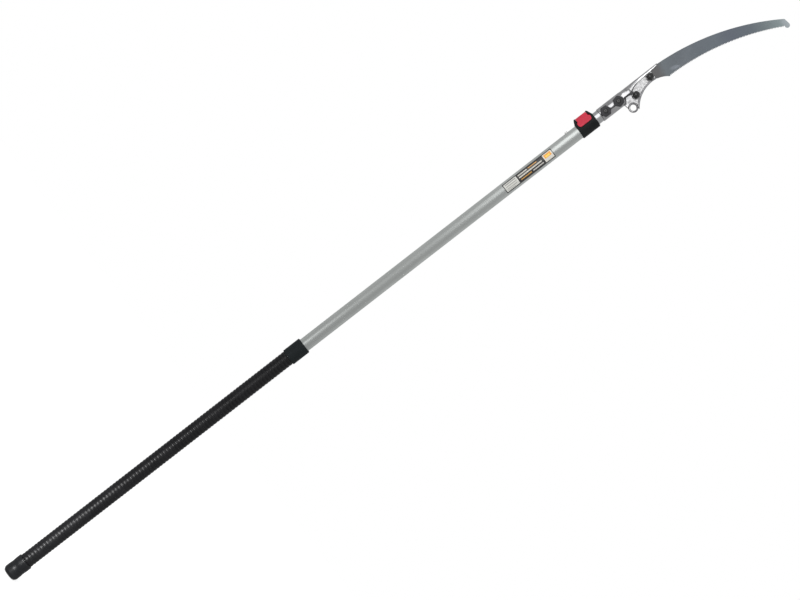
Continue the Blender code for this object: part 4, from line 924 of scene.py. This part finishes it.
def makeLockButton():
    s = buttonShape
    low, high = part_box("lock_button")
    radius, under, shoulder = lockHole["radius"], high.x - s["flangeThick"], low.x + s["shoulder"]
    steps = [(radius + s["flange"], high.x), (radius + s["flange"], under), (radius, under), (radius, shoulder)]
    steps += domeSteps(radius, shoulder, -s["dome"], 10, 1)
    piece = ringStack("lockButton", [(r, r, -x) for r, x in steps], 48)
    piece.rotation_euler = (0, math.radians(-90), 0)
    piece.location = (0, 0, lockHole["z"])
    settle(piece, "lockButton")
    dress(piece, 40, "zincSteel", "lock_button", "lock_button")


makeLockButton()


# cast head: socket scooped into a spine rail, raised band, thin web, rim under the hollow, ring eye
headShape = {"socketHalf": (0.0216, 0.0164), "bore": (0.0197, 0.0145), "socketDepth": 0.0803, "mouth": 0.0012,
             "mouthInset": 0.0008, "scoopFrom": 0.0819, "scoop": 0.013, "railTaper": 0.0008, "reach": 0.232,
             "railDepth": 0.0076, "beakDepth": 0.0066, "thinning": 0.074, "webReach": 0.203, "webDepth": 0.0044,
             "webFoot": 0.0762, "webInRail": 0.004, "webFrom": 0.128, "webInset": 0.001, "neck": 0.0078,
             "neckReach": 0.0145, "rimFrom": 0.106, "rimDepth": 0.0068, "rimWidth": 0.0052, "lowest": 0.188,
             "drop": 0.0152, "lowerRadius": 0.100, "upperRadius": 0.0786, "eye": (0.0427, 0.094),
             "eyeRadius": 0.0155, "eyeHole": 0.0096, "eyeDepth": 0.0070, "squareness": 0.6, "bossRadius": 0.0124,
             "bossDepth": 0.0072, "knobBoss": 0.0110, "voxel": 0.00075}
# lines along the head, as distance up it and x: the rail's low edge, the middle, width and height of the
# raised band, and the two sides of the dark groove under it
railLow = [(0.095, 0.0040), (0.110, 0.0040), (0.115, 0.0030), (0.1185, 0.0012), (0.124, -0.0004), (0.128, -0.0018),
           (0.132, -0.0037), (0.136, -0.0051), (0.140, -0.0063), (0.144, -0.0073), (0.149, -0.0088),
           (0.156, -0.0098), (0.172, -0.0112), (0.182, -0.0120), (0.204, -0.0126), (0.212, -0.0134),
           (0.220, -0.0144), (0.227, -0.0156), (0.232, -0.0178)]
bandMiddle = [(0.0, -0.0041), (0.112, -0.0041), (0.116, -0.0046), (0.120, -0.0054), (0.124, -0.0064),
              (0.128, -0.0077), (0.132, -0.0090), (0.136, -0.0100), (0.140, -0.0107), (0.144, -0.0112),
              (0.150, -0.0118), (0.158, -0.0125), (0.170, -0.0134), (0.182, -0.0142), (0.204, -0.0147),
              (0.212, -0.0154), (0.220, -0.0162), (0.227, -0.0168)]
bandWidth = [(0.0, 0.0116), (0.112, 0.0116), (0.116, 0.0104), (0.120, 0.0088), (0.124, 0.0068), (0.128, 0.0056),
             (0.136, 0.0042), (0.144, 0.0036), (0.200, 0.0034), (0.220, 0.0032), (0.227, 0.0024)]
bandCrown = [(0.0, 0.0174), (0.082, 0.0174), (0.113, 0.0160), (0.128, 0.0124), (0.140, 0.0102), (0.150, 0.0090),
             (0.160, 0.0085), (0.216, 0.0082), (0.227, 0.0076)]
grooveSides = [(-0.004, 0.0024, 0.0060), (0.104, 0.0024, 0.0060), (0.109, 0.0024, 0.0078), (0.113, 0.0016, 0.0096),
               (0.118, 0.0000, 0.0100), (0.1215, -0.0015, 0.0070), (0.124, -0.0028, 0.0008),
               (0.128, -0.0048, -0.0016), (0.132, -0.0066, -0.0036), (0.136, -0.0079, -0.0050),
               (0.140, -0.0089, -0.0063), (0.144, -0.0096, -0.0073), (0.149, -0.0101, -0.0088)]
railTop = -headShape["socketHalf"][0]
eye = (headShape["eye"][0], headStart + headShape["eye"][1])


# a line's value between its points
def along(line, up, column=1):
    for before, after in zip(line, line[1:]):
        if up < after[0]:
            share = min(max((up - before[0]) / (after[0] - before[0]), 0.0), 1.0)
            return before[column] + share * (after[column] - before[column])
    return line[-1][column]


# high edge, low edge and half depth of socket and rail, that far up the head
def railSection(up):
    s = headShape
    scoop = ease((up - s["scoopFrom"]) / s["scoop"])
    low = s["socketHalf"][0] + scoop * (along(railLow, up) - s["socketHalf"][0])
    high = railTop + s["railTaper"] * scoop
    depth = s["socketHalf"][1]
    depth += ease((up - s["scoopFrom"]) / s["thinning"]) * (s["railDepth"] - s["socketHalf"][1])
    depth += ease((up - s["webReach"]) / (s["reach"] - s["webReach"])) * (s["beakDepth"] - s["railDepth"])
    return high, low, depth


def underside(z, offset=0.0):
    rise = z - headStart - headShape["lowest"]
    radius = headShape["upperRadius" if rise > 0 else "lowerRadius"] + offset
    return headShape["drop"] - offset + radius - math.sqrt(radius * radius - rise * rise)


def undersidePoints(start, end, steps, offset=0.0):
    heights = [start + (end - start) * i / steps for i in range(steps + 1)]
    return [(underside(z, offset), z) for z in heights]


def makeRail():
    s = headShape
    bend = s["scoopFrom"] + s["scoop"]
    ups = [0.0, s["mouth"] / 2, s["mouth"]] + [s["scoopFrom"] * i / 12 for i in range(1, 13)]
    ups += [s["scoopFrom"] + s["scoop"] * i / 8 for i in range(1, 9)]
    ups += [bend + (s["reach"] - bend) * i / 48 for i in range(1, 49)]
    rings = []
    for up in ups:
        high, low, depth = railSection(up)
        inset = s["mouthInset"] * max(0.0, 1 - up / s["mouth"])
        rings.append(((low - high) / 2 - inset, depth - inset, headStart + up, (low + high) / 2))
    return ringStack("rail", rings, 72)


# web between the socket, the rail and the hollow
def makeWeb():
    s = headShape
    foot, end, depth = headStart + s["webFoot"], headStart + s["webReach"], s["webDepth"]
    inRail = railTop + s["webInRail"]
    points = [(inRail, foot), (inRail, end)]
    points += undersidePoints(end, headStart + s["webFrom"], 24, s["webInset"])
    points += arcPoints(eye, s["neckReach"], math.radians(35), math.radians(-75), 16)
    points += [(eye[0] - s["neck"], eye[1] - s["neckReach"]), (s["bore"][0], foot)]
    return outlinePlate("web", [(x, -depth, z) for x, z in points], (0, 2 * depth, 0))


# raised rim along the hollow and over the web's end
def makeRim():
    start, end, depth = headStart + headShape["rimFrom"], headStart + headShape["webReach"], headShape["rimDepth"]
    points = undersidePoints(start, end, 28) + undersidePoints(start, end, 28, headShape["rimWidth"])[::-1]
    return outlinePlate("rim", [(x, -depth, z) for x, z in points], (0, 2 * depth, 0))


# ring eye, its section a rounded square
def makeEye():
    inside, outside, half = headShape["eyeHole"], headShape["eyeRadius"], headShape["eyeDepth"]
    middle, radius = (inside + outside) / 2, (outside - inside) / 2
    steps = []
    for x, y in arcPoints((0, 0), 1, 0, math.tau, 20)[:-1]:
        wide, flat = [math.copysign(abs(part) ** headShape["squareness"], part) for part in (x, y)]
        steps.append((middle + radius * wide, half * flat))
    return turnedPiece("eye", eye, steps, 64, ends="bridged")


# the raised band: a flatter crown than the rail's, kept between its two edges
bandShape = {"from": 0.0010, "step": 0.004, "rings": 58, "flatness": 0.40, "aside": 0.15}


def makeBand():
    s = bandShape
    rings, topEdge, lowEdge = [], [], []
    for i in range(s["rings"]):
        up = s["from"] + s["step"] * i - 0.0005 * max(0, i - 55)
        middle, width, crown = along(bandMiddle, up), along(bandWidth, up), along(bandCrown, up)
        curve = width / s["flatness"]
        rings.append((math.sqrt(curve * crown), crown, headStart + up, middle + s["aside"] * curve))
        topEdge.append((middle - width / 2, -past, headStart + up))
        lowEdge.append((middle + width / 2, -past, headStart + up))
    band = ringStack("band", rings, 96)
    keepInside(band, outlinePlate("tool", lowEdge + topEdge[::-1], (0, 2 * past, 0)))
    return band


# the groove under the band, and the hollow between it and the lower nut
grooveShape = {"from": -0.006, "length": 0.160, "depth": 0.0012, "fadeFrom": 0.140, "fade": 0.012, "overWeb": 0.0004}


def makeGroove(side):
    s = grooveShape
    upper = [(x, -past, headStart + up) for up, x, other in grooveSides]
    lower = [(x, -past, headStart + up) for up, other, x in grooveSides]
    groove = outlinePlate("groove", upper + lower[::-1], (0, 2 * past, 0))
    rings = []
    for i in range(39):
        up = s["from"] + s["length"] * i / 38
        high, low, depth = railSection(max(up, 0.0))
        sunk = s["depth"] * (1 - ease((up - s["fadeFrom"]) / s["fade"]))
        rings.append(((low - high) / 2 - 0.5 * sunk, depth - sunk, headStart + up, (low + high) / 2))
    cutAway(groove, ringStack("tool", rings, 96))
    web = headShape["webDepth"] - s["overWeb"]
    start, end = headStart - past, headHigh.z + past
    for near, far in ((-web, web), (0, past) if side < 0 else (-past, 0)):
        cutAway(groove, blockOf("tool", (-past, near, start), (past, far, end)))
    groove.data.materials.clear()
    groove.data.materials.append(looks["castShadow"])
    return groove


def remesh(piece):
    modify(piece, "REMESH", mode="VOXEL", voxel_size=headShape["voxel"], adaptivity=0.0)


headLooks = ["castAluminium", "castRough", "castRimPaintedShade", "castPaintedHighlight"]


def makeHead():
    s = headShape
    piece = makeRail()
    parts = [makeBand(), makeWeb(), makeRim()]
    parts += [rod("y", centre, s["bossRadius"], -s["bossDepth"], s["bossDepth"]) for centre in bladeBolts]
    parts += [rod("y", (0, z), s["knobBoss"], -knobSeat, knobSeat) for z in headBolts]
    joinTo(piece, parts)
    remesh(piece)
    cutAway(piece, rod("y", eye, s["eyeRadius"] - 0.003, *frontToBack, 64))
    joinTo(piece, [makeEye()])
    remesh(piece)
    modify(piece, "SMOOTH", factor=0.5, iterations=4)
    piece.data.materials.clear()
    for look in headLooks:
        piece.data.materials.append(looks[look])
    cutAway(piece, ovalBar("tool", *s["bore"], headStart - past, headStart + s["socketDepth"], 128))
    for side in (-1, 1):
        cutAway(piece, makeGroove(side))
    cutAway(piece, makeSlotTool())
    for z in headBolts:
        cutAway(piece, rod("y", (0, z), boltHole, *frontToBack))
    for centre in bladeBolts:
        cutAway(piece, rod("y", centre, bladeHole, *frontToBack))
    settle(piece, "sawHead")
    smoothBy(piece, 40)
    dressHead(piece)


# the sunk web is left as cast; rim and eye are darker than the socket and rail, as painted shade, and the band high up
# the rail is paler, as a painted highlight
castZones = {"from": 0.085, "highlightFrom": 0.118, "highlightBeside": 0.0002, "highlightUnder": 0.0022, "roughUnder": 0.0052,
             "roughFacing": 0.7, "roughBeyond": 0.016, "roughFrom": 0.1125, "eyeEdge": 0.001, "rimEdge": 0.0006}


def rimStart(z):
    return max(railSection(z - headStart)[1], underside(z) - headShape["rimWidth"] - castZones["rimEdge"])


def dressHead(piece):
    s, zones = headShape, castZones
    for face in piece.data.polygons:
        x, y, z = face.center
        up = z - headStart
        if face.material_index != 0 or up < zones["from"]:
            continue
        fromBand = abs(x - along(bandMiddle, up)) - along(bandWidth, up) / 2
        fromEye = math.hypot(x - eye[0], z - eye[1]) - s["eyeRadius"]
        onBand = fromBand < zones["highlightBeside"] and abs(y) > along(bandCrown, up) - zones["highlightUnder"]
        onWeb = abs(y) < zones["roughUnder"] and abs(face.normal.y) > zones["roughFacing"] and fromEye > 0
        # the band past this point takes the pale finish, a painted highlight
        if up > zones["highlightFrom"] and onBand:
            face.material_index = headLooks.index("castPaintedHighlight")
        elif onWeb:
            if x > zones["roughBeyond"] or up > zones["roughFrom"]:
                face.material_index = headLooks.index("castRough")
        # rim and eye take the dark finish, painted shade
        elif fromEye < zones["eyeEdge"] or (up > s["rimFrom"] and x > rimStart(z)):
            face.material_index = headLooks.index("castRimPaintedShade")
    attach(piece, "inner_pole")
    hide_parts("saw_head")


# slot for the blade's tang, open at the head's end
slotShape = {"half": 0.0013, "top": -0.0182, "heel": 0.0105, "front": 0.0116, "inset": 0.0026, "past": 0.013}


def makeSlotTool():
    s = slotShape
    end = headStart + headShape["webReach"]
    mouth = headStart + headShape["reach"] + s["past"]
    top, inside = s["top"] - gap, s["inset"] - gap
    points = [(top, mouth), (top, bladeBolts[1][1] - gap)]
    points += arcPoints(bladeBolts[0], s["heel"] + gap, 0.0, -math.radians(220), 30)[::-1]
    points += undersidePoints(bladeBolts[0][1] + s["front"], end, 20, inside)
    points += [(underside(end, inside), end + s["past"]), (0, mouth)]
    return outlinePlate("slot", [(x, -s["half"], z) for x, z in points], (0, 2 * s["half"], 0))


makeHead()
print("head made")


# fasteners of the head
def hexPlate(name, centre, flats, near, far, turn, edge):
    reach = flats / 2 / math.cos(math.pi / 6)
    piece = ringStack(name, [(reach, reach, near), (reach, reach, far)], 6)
    bevelEdges(piece, edge, 4, 40)
    standAlongY(piece, centre, turn)
    return settle(piece, name)


def dressFastener(piece, look, node):
    settle(piece, piece.name)
    dress(piece, 35, look, "inner_pole", node)


# big hexagonal knob, its round recess eased at the lip
knobShape = {"flats": 0.0315, "height": 0.0100, "edge": 0.0016, "recess": 0.0050, "radius": 0.0068,
             "lip": 0.0010, "lipFrom": 0.0008, "lipTo": 0.0002}


def makeKnob(node, z, turn):
    s = knobShape
    near = knobSeat + gap
    top = near + s["height"]
    wide = s["radius"] + s["lip"]
    piece = hexPlate(nameFrom("knob", node), (0, z), s["flats"], near, top, turn, s["edge"])
    steps = [(s["radius"], top - s["recess"]), (s["radius"], top - s["lipFrom"]), (wide, top + s["lipTo"]),
             (wide, past)]
    cutAway(piece, turnedPiece("tool", (0, z), steps, 64))
    cutAway(piece, rod("y", (0, z), boltHole, -past, 0))
    dressFastener(piece, "knobPlastic", node)


# round-headed bolt with a hexagon socket
boltShape = {"shank": 0.0040, "head": 0.0065, "height": 0.0042, "edge": 0.0006, "socket": 0.0050,
             "socketDepth": 0.0026, "socketTurn": 15, "socketEdge": 0.0001}


def makeHeadBolt(node, z):
    s = boltShape
    low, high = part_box(node)
    top, edge = -low.y, s["edge"]
    under = top - s["height"]
    steps = [(s["shank"] - edge, -high.y), (s["shank"], -high.y + edge), (s["shank"], under), (s["head"], under),
             (s["head"], top - edge)]
    steps += [(s["head"] - edge * (1 - math.cos(a)), top - edge + edge * math.sin(a)) for a in (0.5, 1.0, 1.571)]
    piece = turnedPiece(nameFrom("bolt", node), (0, z), steps, 56)
    floor = top - s["socketDepth"]
    cutAway(piece, hexPlate("tool", (0, z), s["socket"], floor, past, s["socketTurn"], s["socketEdge"]))
    dressFastener(piece, "blackOxide", node)


def makeWasher(node, z, edge=0.0002):
    low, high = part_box(node)
    steps = [(high.x - edge, -low.y), (high.x, -low.y - edge), (high.x, -high.y + edge), (high.x - edge, -high.y),
             (boltHole, -high.y), (boltHole, -low.y)]
    dressFastener(turnedPiece(nameFrom("washer", node), (0, z), steps, 64, ends="bridged"), "zincSteel", node)


# nut with its outer corners turned off
nutShape = {"flats": 0.0130, "edge": 0.0002, "corner": 0.0076, "end": 0.0062, "chamfer": 0.0010}


def makeNut(node, z):
    s = nutShape
    low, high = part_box(node)
    near, far = -high.y, -low.y
    piece = hexPlate(nameFrom("nut", node), (0, z), s["flats"], near, far, 0, s["edge"])
    steps = [(s["corner"], far + 0.001), (s["corner"], near - 0.0001 + s["chamfer"]), (s["end"], near - 0.0001)]
    keepInside(piece, turnedPiece("tool", (0, z), steps, 72))
    cutAway(piece, rod("y", (0, z), boltHole, low.y - past, high.y + past))
    dressFastener(piece, "zincSteel", node)


# domed nut on a hexagon skirt with turned-off corners
capNutShape = {"flats": 0.0212, "edge": 0.0003, "hexHeight": 0.0062, "dome": 0.0097, "domeHeight": 0.0066,
               "corner": 0.0124, "end": 0.0107, "chamfer": 0.0010, "boreTo": -0.0143}


def makeCapNut(node, centre, turn):
    s = capNutShape
    low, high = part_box(node)
    near, far = -high.y, -high.y + s["hexHeight"]
    piece = hexPlate(nameFrom("capNut", node), centre, s["flats"], near, far, turn, s["edge"])
    first, last = near - 0.0001, far + 0.0001
    steps = [(s["end"], first), (s["corner"], first + s["chamfer"]), (s["corner"], last - s["chamfer"]),
             (s["end"], last)]
    keepInside(piece, turnedPiece("tool", centre, steps, 80))
    steps = [(s["dome"], near + 0.002), (s["dome"], far)] + domeSteps(s["dome"], far, s["domeHeight"], 14, 1)
    fuse(piece, turnedPiece("tool", centre, steps, 80))
    cutAway(piece, rod("y", centre, bladeHole, s["boreTo"], 0))
    dressFastener(piece, "blackOxide", node)


# bolt with a domed head on the back, a hexagon socket in its flat top
bladeBoltShape = {"shank": 0.0039, "seat": 0.0075, "head": 0.0075, "tall": 0.0045, "socketFrom": 0.0015,
                  "socketTurn": 10}


def makeBladeBolt(node, centre):
    s = bladeBoltShape
    low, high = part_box(node)
    steps = [(s["shank"], -low.y), (s["shank"], -s["seat"])] + domeSteps(s["head"], -s["seat"], -s["tall"], 14)[:-1]
    piece = turnedPiece(nameFrom("bladeBolt", node), centre, steps, 56)
    cutAway(piece, hexPlate("tool", centre, boltShape["socket"], steps[-1][1] - 0.001, -s["seat"] - s["socketFrom"],
                            s["socketTurn"], boltShape["socketEdge"]))
    dressFastener(piece, "blackOxide", node)


for place, z, turn in (("lower", headBolts[0], 4.0), ("upper", headBolts[1], -14.0)):
    makeKnob("head_knob_" + place, z, turn)
    makeHeadBolt("head_bolt_" + place, z)
    makeWasher("head_washer_" + place, z)
    makeNut("head_nut_" + place, z)
for place, centre, turn in (("lower", bladeBolts[0], 12.0), ("upper", bladeBolts[1], -20.0)):
    makeCapNut("cap_nut_" + place, centre, turn)
    makeBladeBolt("blade_bolt_" + place, centre)
print("fasteners made")


# model pieces that stay as they are, with their finish
kept = {"blade": "bladeSteel", "butt_plug": "mouldedBlack", "foot_bush": "mouldedBlack", "tube_core": "mouldedBlack",
        "pressure_shoe": "mouldedBlack", "lever_pin": "zincSteel", "lock_spring": "zincSteel",
        "extension_lock_button": "zincSteel", "extension_lock_spring": "zincSteel"}
for node, look in kept.items():
    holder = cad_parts[node]
    for holderSlot in holder.material_slots:
        holderSlot.material = looks[look]
